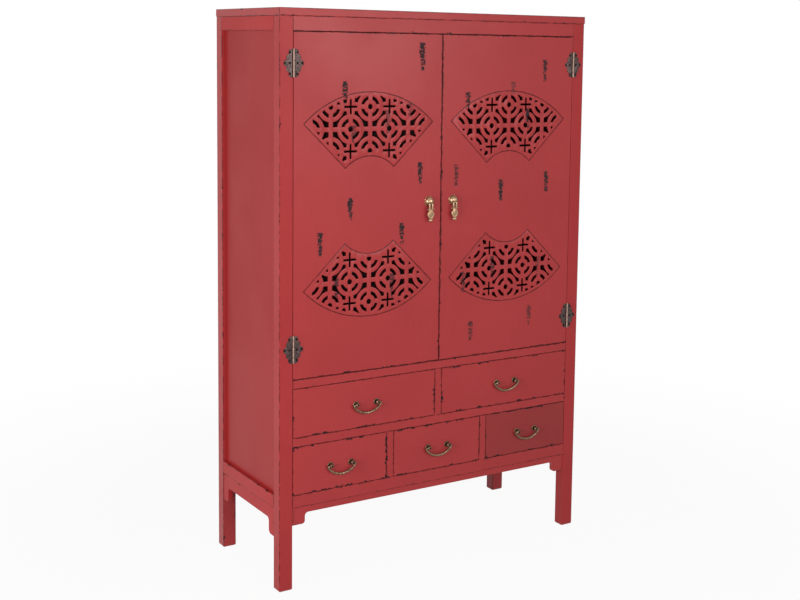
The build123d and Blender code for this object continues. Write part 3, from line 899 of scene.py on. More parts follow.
# ---------------------------------------------------------------- mesh helpers
def in_scene(name: str, data: bpy.types.ID) -> bpy.types.Object:
    """Put a mesh, a lamp or a camera in the scene.

    Args:
        name: Name of the object.
        data: The mesh, lamp or camera.

    Returns:
        The object.
    """
    thing = bpy.data.objects.new(name, data)
    bpy.context.scene.collection.objects.link(thing)
    return thing


def add_object(name: str, mesh: bpy.types.Mesh,
               material: bpy.types.Material | None = None) -> bpy.types.Object:
    """Put a mesh in the scene at the origin, and give it a material if there is one.

    Args:
        name: Name of the piece.
        mesh: Its mesh.
        material: What it is made of, if that is known.

    Returns:
        The piece.
    """
    if material:
        mesh.materials.clear()
        mesh.materials.append(material)
    return in_scene(name, mesh)


def settle(piece: bpy.types.Object, body: str, node: str) -> None:
    """Let a finished piece ride on its body and stand for its CAD node.

    Args:
        piece: The finished piece, at the origin.
        body: The CAD body that it moves with.
        node: The CAD node that it stands for.
    """
    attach(piece, body)
    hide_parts(node)
    LOG.info("%s: %d faces, rides on %s, stands for %s", piece.name, len(piece.data.polygons),
             body, node)


def baked(piece: bpy.types.Object) -> bpy.types.Object:
    """Turn a piece with live modifiers into a plain mesh.

    Args:
        piece: The piece with its modifiers.

    Returns:
        The same piece, as a plain mesh.
    """
    graph = bpy.context.evaluated_depsgraph_get()
    graph.update()
    mesh = bpy.data.meshes.new_from_object(piece.evaluated_get(graph))
    piece.modifiers.clear()
    piece.data = mesh
    return piece


def shade(mesh: bpy.types.Mesh, angle: float) -> None:
    """Shade a mesh smoothly but for edges that turn by more than some degrees."""
    mesh.shade_smooth()
    mesh.set_sharp_from_angle(angle=math.radians(angle))


def rounded(piece: bpy.types.Object, width: float, angle: float = 35.0) -> bpy.types.Object:
    """Soften the sharp edges of a piece and shade the rest smoothly.

    Args:
        piece: The piece to soften.
        width: Width of the softened edge.
        angle: Edges that turn by more than this many degrees are softened.

    Returns:
        The same piece, as a plain mesh.
    """
    bevel = piece.modifiers.new("soft_edges", "BEVEL")
    bevel.width = width
    bevel.segments = 2
    bevel.limit_method = "ANGLE"
    bevel.angle_limit = math.radians(angle)
    baked(piece)
    shade(piece.data, angle)
    return piece


def merged_copy(node: str, name: str, material: bpy.types.Material) -> bpy.types.Object:
    """A welded copy of a CAD node, with its flat faces joined up.

    Args:
        node: Name of the CAD node.
        name: Name of the copy.
        material: What the copy is made of.

    Returns:
        The copy.
    """
    mesh = frame["nodes"][node].data.copy()
    mesh.name = name
    shape = bmesh.new()
    shape.from_mesh(mesh)
    bmesh.ops.remove_doubles(shape, verts=shape.verts, dist=WELD)
    bmesh.ops.dissolve_limit(shape, angle_limit=math.radians(0.5), verts=shape.verts,
                             edges=shape.edges)
    shape.to_mesh(mesh)
    shape.free()
    if "custom_normal" in mesh.attributes:
        mesh.attributes.remove(mesh.attributes["custom_normal"])
    return add_object(name, mesh, material)


def solid_boxes(node: str) -> list[Box]:
    """The box of each separate solid in a CAD node.

    Args:
        node: Name of the CAD node.

    Returns:
        The boxes, in no special order.
    """
    shape = bmesh.new()
    shape.from_mesh(frame["nodes"][node].data)
    bmesh.ops.remove_doubles(shape, verts=shape.verts, dist=WELD)
    boxes: list[Box] = []
    waiting = set(shape.verts)
    while waiting:
        group, edge = [], [waiting.pop()]
        while edge:
            vertex = edge.pop()
            group.append(vertex.co.copy())
            for link in vertex.link_edges:
                other = link.other_vert(vertex)
                if other in waiting:
                    waiting.remove(other)
                    edge.append(other)
        boxes.append((Vector(min(p[i] for p in group) for i in range(3)),
                      Vector(max(p[i] for p in group) for i in range(3))))
    shape.free()
    return boxes


def unworn(box: Box, inward: int, away: float = 50.0 * MM) -> Box:
    """A box whose edge on one side, by the sign of X, is moved away so that it shows no wear.

    Args:
        box: The box.
        inward: Sign of X on the side that shows no wear.
        away: Length by which that side is moved.

    Returns:
        The longer box.
    """
    low, high = (corner.copy() for corner in box)
    if inward < 0:
        low.x -= away
    else:
        high.x += away
    return low, high


def box_middle(box: Box) -> Place:
    """The middle of a box."""
    x, y, z = ((low + high) / 2 for low, high in zip(*box))
    return x, y, z


def sweep(start: float, span: float, steps: int) -> list[float]:
    """Angles in even steps from a start over a span, both ends counted."""
    return [start + span * step / steps for step in range(steps + 1)]


def around(steps: int) -> list[float]:
    """Angles in even steps round a full turn."""
    return sweep(0.0, 2 * math.pi, steps)[:-1]


def loft(rings: Sequence[Sequence[Vector]]) -> bmesh.types.BMesh:
    """Skin a row of rings that have the same number of points, and cap both ends.

    Args:
        rings: The rings, each a loop of points.

    Returns:
        The skinned shape.
    """
    shape = bmesh.new()
    rows = [[shape.verts.new(point) for point in ring] for ring in rings]
    for lower, upper in zip(rows, rows[1:]):
        for index in range(len(lower)):
            after = (index + 1) % len(lower)
            shape.faces.new((lower[index], lower[after], upper[after], upper[index]))
    shape.faces.new(list(reversed(rows[0])))
    shape.faces.new(rows[-1])
    bmesh.ops.recalc_face_normals(shape, faces=shape.faces)
    return shape


def turned(profile: Sequence[tuple[float, float]], steps: int) -> bmesh.types.BMesh:
    """Turn a profile about the Y axis.

    Args:
        profile: Radius and Y of each point, from one pole to the other.
        steps: Points round the turned shape.

    Returns:
        A closed turned shape.
    """
    shape = loft([[Vector((radius * math.cos(turn), y, radius * math.sin(turn)))
                   for turn in around(steps)] for radius, y in profile])
    bmesh.ops.remove_doubles(shape, verts=shape.verts, dist=WELD)
    bmesh.ops.recalc_face_normals(shape, faces=shape.faces)
    return shape


def tube(path: Sequence[Vector], radii: Sequence[float], steps: int) -> bmesh.types.BMesh:
    """A round bar along a path that turns gently.

    Args:
        path: Points along the middle of the bar.
        radii: Radius at each point.
        steps: Points round the bar.

    Returns:
        A closed bar.
    """
    rings = []
    for index, (point, radius) in enumerate(zip(path, radii)):
        before, after = path[max(index - 1, 0)], path[min(index + 1, len(path) - 1)]
        along = (after - before).normalized()
        side = Vector((0, 1, 0)) if abs(along.y) < 0.9 else Vector((1, 0, 0))
        first = (side - along * side.dot(along)).normalized()
        second = along.cross(first)
        rings.append([point + radius * (first * math.cos(turn) + second * math.sin(turn))
                      for turn in around(steps)])
    return loft(rings)


def as_mesh(name: str, shapes: Iterable[bmesh.types.BMesh]) -> bpy.types.Mesh:
    """Gather some shapes in one mesh and free them.

    Args:
        name: Name of the mesh.
        shapes: The shapes.

    Returns:
        The mesh.
    """
    whole = bmesh.new()
    for shape in shapes:
        part = bpy.data.meshes.new("part")
        shape.to_mesh(part)
        shape.free()
        whole.from_mesh(part)
        bpy.data.meshes.remove(part)
    mesh = bpy.data.meshes.new(name)
    whole.to_mesh(mesh)
    whole.free()
    return mesh


def mark_hollows(mesh: bpy.types.Mesh, values: Sequence[float]) -> None:
    """Store how deep in a hollow each vertex lies, from 0 to 1."""
    layer = mesh.attributes.new(RECESS, "FLOAT", "POINT")
    layer.data.foreach_set("value", values)


def grown(name: str, points: Sequence[Vector], tree: bpy.types.NodeTree,
          sizes: Mapping[str, object], material: bpy.types.Material) -> bpy.types.Object:
    """Run a geometry tree on a cloud of points and keep the result as a plain mesh.

    Args:
        name: Name of the piece.
        points: The points that the tree starts from, which may be none.
        tree: The geometry tree.
        sizes: Values of the tree's inputs, by name.
        material: What the piece is made of.

    Returns:
        The finished piece.
    """
    mesh = bpy.data.meshes.new(name)
    mesh.from_pydata([tuple(point) for point in points], [], [])
    piece = add_object(name, mesh)
    modifier = piece.modifiers.new(tree.name, "NODES")
    modifier.node_group = tree
    sockets = {item.name: item.identifier for item in tree.interface.items_tree
               if item.in_out == "INPUT"}
    for label, value in {**sizes, "Material": material}.items():
        modifier[sockets[label]] = value
    return baked(piece)


# ---------------------------------------------------------------- geometry trees
class Patterns:
    """The geometry trees, each built once."""

    lattice: ClassVar[tuple[int, int]] = (13, 9)

    def __init__(self) -> None:
        """Build all the trees."""
        self.nails = self._nails()
        self.fan_prism = self._fan_prism()
        self.cross_prism = self._cross_prism()
        self.fretwork = self._fretwork()

    @staticmethod
    def _nails() -> bpy.types.NodeTree:
        """A domed nail at every point, its shank running back from the point.

        Returns:
            The tree.
        """
        tree = Tree("nails", "GeometryNodeTree",
                    {"Geometry": "shape", "Head Radius": "value", "Head Height": "value",
                     "Shank Radius": "value", "Shank Length": "value", "Seed": "whole",
                     "Material": "material"},
                    {"Geometry": "shape"})
        given = tree.given
        radius, height = given["Head Radius"], given["Head Height"]
        ball = tree.add("GeometryNodeMeshUVSphere", {"Segments": 20, "Rings": 10, "Radius": 1.0})
        sized = tree.moved(ball.outputs[0], Scale=tree.combine(radius, height, radius))
        x, y, z = tree.split(tree.add("GeometryNodeInputPosition").outputs[0])
        dome = tree.add("GeometryNodeSetPosition",
                        {"Geometry": sized, "Position": tree.combine(x, tree.least(y, 0.0), z)})
        shank = tree.add("GeometryNodeMeshCylinder",
                         {"Vertices": 12, "Radius": given["Shank Radius"],
                          "Depth": given["Shank Length"]})
        back = given["Shank Length"] * 0.5
        laid = tree.moved(shank.outputs[0], Translation=tree.combine(0.0, back, 0.0),
                          Rotation=(math.pi / 2, 0.0, 0.0))
        nail = tree.joined(dome.outputs[0], laid)
        turn = tree.add("FunctionNodeRandomValue",
                        {"Min": (0.0, 0.0, 0.0), "Max": (0.0, 2 * math.pi, 0.0),
                         "Seed": given["Seed"]}, data_type="FLOAT_VECTOR")
        size = tree.add("FunctionNodeRandomValue", {2: 0.9, 3: 1.0, "Seed": given["Seed"]},
                        data_type="FLOAT")
        girth = size.outputs[1]
        placed = tree.add("GeometryNodeInstanceOnPoints",
                          {"Points": given["Geometry"], "Instance": nail,
                           "Rotation": turn.outputs[0], "Scale": tree.combine(girth, 1.0, girth)})
        smooth = tree.add("GeometryNodeSetShadeSmooth", {0: tree.real(placed.outputs[0])})
        return tree.finished(smooth.outputs[0])

    @staticmethod
    def _fan_prism() -> bpy.types.NodeTree:
        """A fan between two arcs and two spokes, all sides moved in by the inset.

        Returns:
            The group.
        """
        tree = Tree("fan_prism", "GeometryNodeTree",
                    {"Outer": "value", "Inner": "value", "Half Angle": "value",
                     "Inset": "value", "Bottom": "value", "Top": "value"},
                    {"Geometry": "shape"})
        given = tree.given
        grid = tree.add("GeometryNodeMeshGrid", {"Size X": 2.0, "Size Y": 1.0, "Vertices X": 49,
                                                 "Vertices Y": 2})
        across, up, _ = tree.split(tree.add("GeometryNodeInputPosition").outputs[0])
        inset = given["Inset"]
        inner = given["Inner"] + inset
        outer = given["Outer"] - inset
        share = up + 0.5
        radius = inner + share * (outer - inner)
        spread = given["Half Angle"] - tree.math("ARCSINE", inset / radius)
        angle = spread * across
        place = tree.combine(radius * tree.math("SINE", angle), radius * tree.math("COSINE", angle),
                             given["Bottom"])
        bent = tree.add("GeometryNodeSetPosition", {"Geometry": grid.outputs[0],
                                                    "Position": place})
        rise = given["Top"] - given["Bottom"]
        walls = tree.add("GeometryNodeExtrudeMesh", {
            "Mesh": bent.outputs[0], "Offset": (0.0, 0.0, 1.0), "Offset Scale": rise,
            "Individual": False})
        under = tree.add("GeometryNodeFlipFaces", {0: bent.outputs[0]})
        whole = tree.joined(walls.outputs[0], under.outputs[0])
        welded = tree.add("GeometryNodeMergeByDistance", {"Geometry": whole, "Distance": WELD})
        return tree.close(Geometry=welded.outputs[0])

    @staticmethod
    def _cross_prism() -> bpy.types.NodeTree:
        """Two equal bars that cross at the origin.

        Returns:
            The group.
        """
        tree = Tree("cross_prism", "GeometryNodeTree",
                    {"Width": "value", "Length": "value", "Depth": "value"},
                    {"Geometry": "shape"})
        width, length, depth = (tree.given[name] for name in ("Width", "Length", "Depth"))
        cross = tree.add("GeometryNodeMeshBoolean", operation="UNION", solver="EXACT")
        for size in (tree.combine(width, length, depth), tree.combine(length, width, depth)):
            bar = tree.add("GeometryNodeMeshCube", {"Size": size})
            tree.put(cross.inputs["Mesh 2"], bar.outputs[0])
        return tree.close(Geometry=cross.outputs[0])

    def _fretwork(self) -> bpy.types.NodeTree:
        """A fan pierced by a lattice of rings and crosses, inside a plain border.

        The fan lies in the XY plane about its arcs' centre, its face at Z 0, and is then stood up
        to look to the front, turned the right way up and moved to its place.

        Returns:
            The tree.
        """
        tree = Tree("fretwork", "GeometryNodeTree",
                    {"Geometry": "shape", "Outer": "value", "Inner": "value",
                     "Half Angle": "value", "Border": "value", "Thickness": "value",
                     "Pitch": "value", "Row Height": "value", "Ring Outer": "value",
                     "Ring Inner": "value", "Hub": "value", "Hub Hole": "value",
                     "Spoke": "value", "Bar": "value", "Slot": "value", "Smallest": "value",
                     "Turn": "value", "Place": "vector", "Material": "material"},
                    {"Geometry": "shape"})
        given = tree.given
        pitch, thickness = given["Pitch"], given["Thickness"]
        middle = tree.combine(0.0, 0.0, -0.5 * thickness)

        def fan(inset: object, over: float) -> Value:
            """A fan that stands proud of the plate's two faces by some length.

            Args:
                inset: Length by which all sides are moved in.
                over: Length by which the solid stands past the plate's faces.

            Returns:
                The fan.
            """
            return tree.group(self.fan_prism,
                              {"Outer": given["Outer"], "Inner": given["Inner"],
                               "Half Angle": given["Half Angle"], "Inset": inset,
                               "Bottom": -over - thickness, "Top": over})["Geometry"]

        def deep(over: float) -> Value:
            """The plate's thickness and twice a length."""
            return thickness + 2 * over

        def disc(radius: Value, over: float) -> Socket:
            """A round cutter through the plate.

            Args:
                radius: Radius of the cutter.
                over: Length by which the solid stands past the plate's faces.

            Returns:
                The cutter.
            """
            node = tree.add("GeometryNodeMeshCylinder", {"Vertices": 56, "Radius": radius,
                                                         "Depth": deep(over)})
            return tree.moved(node.outputs[0], Translation=middle)

        def cross(width: Value, length: Value, over: float) -> Socket:
            """A crossed cutter through the plate.

            Args:
                width: Width of its bars.
                length: Length of its bars.
                over: Length by which the solid stands past the plate's faces.

            Returns:
                The cutter.
            """
            made = tree.group(self.cross_prism, {"Width": width, "Length": length,
                                                 "Depth": deep(over)})["Geometry"]
            return tree.moved(made, Translation=middle)

        def carve(operation: str, first: Socket, *others: Socket) -> Socket:
            """Cut the others off the first solid, or keep what all of them share.

            Args:
                operation: DIFFERENCE or INTERSECT.
                first: The first solid.
                others: The other solids.

            Returns:
                What is left.
            """
            node = tree.add("GeometryNodeMeshBoolean", operation=operation, solver="EXACT")
            tree.put(node.inputs["Mesh 1" if operation == "DIFFERENCE" else "Mesh 2"], first)
            for other in others:
                tree.put(node.inputs["Mesh 2"], other)
            return node.outputs[0]

        columns, rows = self.lattice
        grid = tree.add("GeometryNodeMeshGrid",
                        {"Size X": pitch * (columns - 1), "Size Y": pitch * (rows - 1),
                         "Vertices X": columns, "Vertices Y": rows})
        lattice = tree.moved(grid.outputs[0],
                             Translation=tree.combine(0.0, given["Row Height"], 0.0))
        x, y, _ = tree.split(tree.add("GeometryNodeInputPosition").outputs[0])
        column = tree.math("ROUND", x / pitch)
        row = tree.math("ROUND", (y - given["Row Height"]) / pitch)
        at_ring = (column + row) % 2.0
        odd_column = column % 2.0
        even_sum = 1.0 - at_ring
        at_bar = even_sum * odd_column
        at_cross = even_sum * (1.0 - odd_column)

        def repeat(shape: Socket, where: Value) -> Socket:
            """A shape at every lattice point of one kind.

            Args:
                shape: The shape.
                where: 1 at its points, 0 elsewhere.

            Returns:
                All the copies as one shape.
            """
            chosen = where > 0.5
            node = tree.add("GeometryNodeInstanceOnPoints", {
                "Points": lattice, "Instance": shape, "Selection": chosen})
            return tree.real(node.outputs[0])

        gap = pitch - given["Ring Outer"]
        arm = (gap + 1.0 * MM) * 2.0
        open_space = carve("DIFFERENCE", fan(given["Border"], 2 * MM),
                           repeat(disc(given["Ring Outer"], 4 * MM), at_ring),
                           repeat(cross(given["Bar"], arm, 4 * MM), at_bar),
                           repeat(cross(given["Spoke"], arm, 4 * MM), at_cross))
        windows = carve("DIFFERENCE", disc(given["Ring Inner"], 3 * MM), disc(given["Hub"], 5 * MM),
                        cross(given["Spoke"], given["Ring Inner"] * 3.0, 5 * MM))
        slots = cross(given["Slot"], arm - 1.0 * MM, 3 * MM)
        pierced = [carve("INTERSECT", fan(given["Border"], 4 * MM), repeat(shape, where))
                   for shape, where in ((windows, at_ring),
                                        (disc(given["Hub Hole"], 3 * MM), at_ring),
                                        (slots, at_bar))]
        holes = tree.joined(open_space, *pierced)
        upward = tree.split(tree.add("GeometryNodeInputNormal").outputs[0])[2] > 0.9
        area = tree.add("GeometryNodeAccumulateField",
                        {0: upward * tree.add("GeometryNodeInputMeshFaceArea").outputs[0],
                         1: tree.add("GeometryNodeInputMeshIsland").outputs["Island Index"]},
                        domain="FACE")
        total = Value(tree, area.outputs["Total"])
        kept = tree.add("GeometryNodeDeleteGeometry",
                        {"Geometry": holes, "Selection": total < given["Smallest"]}, domain="FACE")
        pierced_fan = carve("DIFFERENCE", fan(0.0, 0.0), kept.outputs[0])
        stood = tree.moved(pierced_fan, Rotation=(math.pi / 2, 0.0, 0.0))
        turned_fan = tree.moved(stood, Rotation=tree.combine(0.0, given["Turn"], 0.0))
        return tree.finished(tree.real(tree.moved(turned_fan, Translation=given["Place"])))


# ---------------------------------------------------------------- the workshop
@dataclass
class Workshop:
    """What every sub-assembly needs: effects, patterns and finishes."""

    effects: Effects = field(default_factory=Effects)
    patterns: Patterns = field(default_factory=Patterns)
    lacquer: Lacquer = Lacquer()
    timber: StainedWood = StainedWood()
    brass: AgedMetal = AgedMetal(paint(186, 152, 120), paint(58, 46, 30), 0.26, 0.55, 260.0)
    bronze: AgedMetal = AgedMetal(paint(132, 108, 86), paint(34, 24, 20), 0.28, 0.55, 240.0)
    plate: AgedMetal = AgedMetal(paint(88, 74, 72), paint(36, 26, 24), 0.4, 0.6, 220.0,
                                 paint(158, 132, 120))
    nail: AgedMetal = AgedMetal(paint(44, 32, 32), paint(26, 20, 20), 0.45, 0.65)

    def dress(self, node: str, material: bpy.types.Material) -> None:
        """Give a CAD node its finish.

        Args:
            node: Name of the CAD node.
            material: The finish.
        """
        piece = frame["nodes"][node]
        if piece.material_slots:
            for slot in piece.material_slots:
                slot.material = material
        else:
            piece.data.materials.append(material)
        LOG.info("%s: %s", node, material.name)


# ---------------------------------------------------------------- carcass
@dataclass
class Carcass:
    """Posts, rails, panels, aprons and the boards inside."""

    upright: tuple[str, ...] = ("posts_rear", "upper_muntin", "lower_muntins")
    panels: tuple[str, ...] = ("side_panel_right", "side_panel_left")
    # Lit and shaded copies of the paint for the side: the side panels' copy is darker, as painted
    # shade, and the side rails' and aprons' copy is brighter red, as painted light; both have less
    # green and blue, to take back the sheen that the side faces reflect.
    panel_tone: Colour = paint(166, 42, 42)
    panel_shade: Colour = paint(157, 38, 39)
    rail_tone: Colour = paint(182, 46, 46)
    rail_shade: Colour = paint(172, 42, 42)
    dull_gloss: float = 0.11
    rub_width: float = 2.2 * MM
    rub_strength: float = 0.6
    across: tuple[str, ...] = ("front_top_rail", "door_rail", "drawer_rail",
                               "front_bottom_rail", "back_rails", "top_board", "front_apron")
    deep: tuple[str, ...] = ("side_rails", "side_aprons")
    timber_across: tuple[str, ...] = ("compartment_floor", "drawer_boards", "shelf",
                                      "door_stops")
    timber_deep: tuple[str, ...] = ("cleats", "drawer_guides")
    timber_upright: tuple[str, ...] = ("back_panel",)
    chips: float = 0.34
    post_chips: float = 0.16
    first_seed: float = 2.37
    seed_step: float = 1.37

    def build(self, shop: Workshop) -> None:
        """Paint the outside and stain the inside.

        Args:
            shop: The shared finishes.
        """
        seeds = count(self.first_seed, self.seed_step)
        frame_paint = replace(shop.lacquer, rub_width=self.rub_width,
                              rub_strength=self.rub_strength)
        dull = replace(frame_paint, gloss=self.dull_gloss)
        # Painted shade on the side panels and painted light on the side rails and aprons.
        flat = replace(dull, tone=self.panel_tone, shade=self.panel_shade)
        bright = replace(dull, tone=self.rail_tone, shade=self.rail_shade)
        for names, stroke, lacquer in ((self.upright, Stroke.UPRIGHT, frame_paint),
                                       (self.panels, Stroke.UPRIGHT, flat),
                                       (self.across, Stroke.ACROSS, frame_paint),
                                       (self.deep, Stroke.DEEP, bright)):
            for name in names:
                shop.dress(name, lacquer.material(shop.effects, "lacquer_" + name,
                                                  solid_boxes(name), stroke, next(seeds),
                                                  self.chips))
        for side in Side:
            name = "post_front_" + side.label
            worn = [unworn(box, -side.value) for box in solid_boxes(name)]
            shop.dress(name, dull.material(shop.effects, "lacquer_" + name, worn,
                                           Stroke.UPRIGHT, next(seeds), self.post_chips))
        for names, stroke in ((self.timber_across, Stroke.ACROSS), (self.timber_deep, Stroke.DEEP),
                              (self.timber_upright, Stroke.UPRIGHT)):
            for name in names:
                shop.dress(name, shop.timber.material(shop.effects, "stain_" + name, stroke,
                                                      next(seeds)))


# ---------------------------------------------------------------- doors
@dataclass
class Fretwork:
    """A fan-shaped pierced panel; its fields are the inputs of the fretwork tree by name."""

    outer: float = 320.0 * MM
    inner: float = 121.0 * MM
    half_angle: float = math.radians(45.7)
    border: float = 10.5 * MM
    thickness: float = 10.0 * MM
    pitch: float = 69.0 * MM
    row_height: float = 205.4 * MM
    ring_outer: float = 46.5 * MM
    ring_inner: float = 33.0 * MM
    hub: float = 22.3 * MM
    hub_hole: float = 8.6 * MM
    spoke: float = 14.0 * MM
    bar: float = 27.0 * MM
    slot: float = 7.0 * MM
    smallest: float = 20.0 * MM * MM
    soft_edge: ClassVar[float] = 0.45 * MM

    def outline(self, node: str, upwards: bool) -> FanOutline:
        """Where the panel that a CAD node stands for lies.

        Args:
            node: Name of the CAD node.
            upwards: Whether the fan opens upwards.

        Returns:
            The outline, at the panel's front face.
        """
        low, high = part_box(node)
        centre_z = high.z - self.outer if upwards else low.z + self.outer
        return FanOutline(((low.x + high.x) / 2, low.y, centre_z), 1.0 if upwards else -1.0,
                          self.outer, self.inner, self.half_angle)

    def build(self, shop: Workshop, name: str, node: str, upwards: bool,
              material: bpy.types.Material) -> bpy.types.Object:
        """Cut one panel.

        Args:
            shop: The shared trees.
            name: Name of the piece.
            node: CAD node that it stands for, whose box places it.
            upwards: Whether the fan opens upwards.
            material: What it is painted with.

        Returns:
            The panel, not yet riding on anything.
        """
        sizes = {**inputs_of(self), "Turn": 0.0 if upwards else math.pi,
                 "Place": self.outline(node, upwards).centre}
        piece = grown(name, [], shop.patterns.fretwork, sizes, material)
        return rounded(piece, self.soft_edge)


@dataclass
class Door:
    """One door board with its two fretwork panels."""

    side: Side
    scuffs: tuple[ScuffMark, ...]
    seed: float
    fretwork: Fretwork = field(default_factory=Fretwork)
    chips: float = 0.42
    # The line rubbed along the board's edges is partly wear and partly painted shade: at the meeting
    # edge it widens the dark gap between the doors.
    rub_width: float = 2.5 * MM
    rub_strength: float = 0.8

    def build(self, shop: Workshop) -> None:
        """Paint the board and fit its panels.

        Args:
            shop: The shared finishes.
        """
        node = "door_" + self.side.label
        frets = {f"fret_{level}_{self.side.label}": upwards
                 for level, upwards in (("upper", True), ("lower", False))}
        fans = [self.fretwork.outline(fret, upwards) for fret, upwards in frets.items()]
        worn = [unworn(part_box(node), self.side.value)]
        # The board's worn edges also carry painted shade of the gap between the doors.
        board_paint_and_gap_shade = replace(shop.lacquer, rub_width=self.rub_width,
                              rub_strength=self.rub_strength)
        material = board_paint_and_gap_shade.material(shop.effects, "lacquer_" + node, worn, Stroke.UPRIGHT,
                                        self.seed, self.chips, self.scuffs, fans)
        shop.dress(node, material)
        # The fretwork's paint darkens the walls of its openings as painted shade.
        fret_paint = shop.lacquer.material(shop.effects, "lacquer_fret_" + self.side.label, [],
                                           Stroke.UPRIGHT, self.seed, 0.0, self.scuffs, fans,
                                           fans[0].centre[1])
        for fret, upwards in frets.items():
            name = fret.replace("fret_", "fretwork_")
            panel = self.fretwork.build(shop, name, fret, upwards, fret_paint)
            settle(panel, node, fret)


LEFT_SCUFFS = (
    ScuffMark(-0.078, 1.703, 0.089, 1.0, 10.0 * MM, 4.0 * MM),
    ScuffMark(-0.355, 1.581, 0.069, 1.0, 8.5 * MM),
    ScuffMark(-0.121, 1.512, 0.045, 0.7), ScuffMark(-0.203, 1.492, 0.076, 0.6),
    ScuffMark(-0.326, 1.444, 0.052, 0.8), ScuffMark(-0.081, 1.323, 0.071),
    ScuffMark(-0.334, 1.220, 0.070), ScuffMark(-0.439, 1.118, 0.073),
    ScuffMark(-0.147, 1.131, 0.072), ScuffMark(-0.382, 0.975, 0.070, 0.85),
    ScuffMark(-0.182, 0.971, 0.077, 0.85),
)
RIGHT_SCUFFS = (
    ScuffMark(0.410, 1.652, 0.073, 0.95), ScuffMark(0.280, 1.579, 0.040, 0.6),
    ScuffMark(0.099, 1.545, 0.059), ScuffMark(0.341, 1.492, 0.068),
    ScuffMark(0.057, 1.310, 0.070, 0.8), ScuffMark(0.236, 1.254, 0.072),
    ScuffMark(0.425, 1.274, 0.070), ScuffMark(0.090, 0.954, 0.070, 0.85),
    ScuffMark(0.207, 0.998, 0.075, 0.85), ScuffMark(0.396, 0.983, 0.065, 0.6),
    ScuffMark(0.123, 0.784, 0.065, 0.85), ScuffMark(0.364, 0.815, 0.070, 0.7),
)


# ---------------------------------------------------------------- hinges
@dataclass
class Hinges:
    """Cloud-shaped leaves, their pins and their nails."""

    head_radius: float = 2.4 * MM
    head_height: float = 1.2 * MM
    shank_radius: float = 1.0 * MM
    inner_reach: float = 12.5 * MM
    outer_reach: float = 29.0 * MM
    end_height: float = 32.0 * MM
    barrel: float = 2.7 * MM
    soft_edge: float = 0.35 * MM
    crease: float = 40.0
    nail_seed: int = 5

    def plan(self) -> HingePlan:
        """Read the axis and levels of the hinges from their pins and nails.

        Returns:
            The plan.
        """
        x, y, _ = box_middle(solid_boxes("hinge_pins")[0])
        heights = [box_middle(box)[2] for box in solid_boxes("hinge_frame_nails")]
        middle = (min(heights) + max(heights)) / 2
        upper = [height for height in heights if height > middle]
        return HingePlan((abs(x), y, middle), sum(upper) / len(upper) - middle,
                         self.inner_reach, self.outer_reach, self.end_height, self.barrel)

    def build(self, shop: Workshop) -> None:
        """Make the leaves and nails and dress the pins.

        Args:
            shop: The shared finishes.
        """
        plate = shop.plate.material(shop.effects, "hinge_plate", hinges=self.plan())
        steel = shop.nail.material(shop.effects, "hinge_nail")
        for body, ending in (("carcass", ""), ("door_right", "_right"), ("door_left", "_left")):
            sort = "door" if ending else "frame"
            leaves = f"hinge_{sort}_leaves{ending}"
            piece = merged_copy(leaves, f"hinge_{sort}_plates{ending}", plate)
            settle(rounded(piece, self.soft_edge, self.crease), body, leaves)
            nails = f"hinge_{sort}_nails{ending}"
            settle(self._nails(shop, nails, f"hinge_{sort}_studs{ending}", steel), body,
                   nails)
        shop.dress("hinge_pins", plate)

    def _nails(self, shop: Workshop, node: str, name: str,
               material: bpy.types.Material) -> bpy.types.Object:
        """Domed nails where the CAD node has its nails.

        Args:
            shop: The shared trees.
            node: Name of the CAD node.
            name: Name of the piece.
            material: What the piece is made of.

        Returns:
            The nails.
        """
        points = []
        for box in solid_boxes(node):
            x, _, z = box_middle(box)
            points.append(Vector((x, box[0].y + self.head_height, z)))
            length = box[1].y - points[-1].y
        points.sort(key=lambda point: (point.x, point.z))
        return grown(name, points, shop.patterns.nails,
                     {"Head Radius": self.head_radius, "Head Height": self.head_height,
                      "Shank Radius": self.shank_radius, "Shank Length": length,
                      "Seed": self.nail_seed}, material)


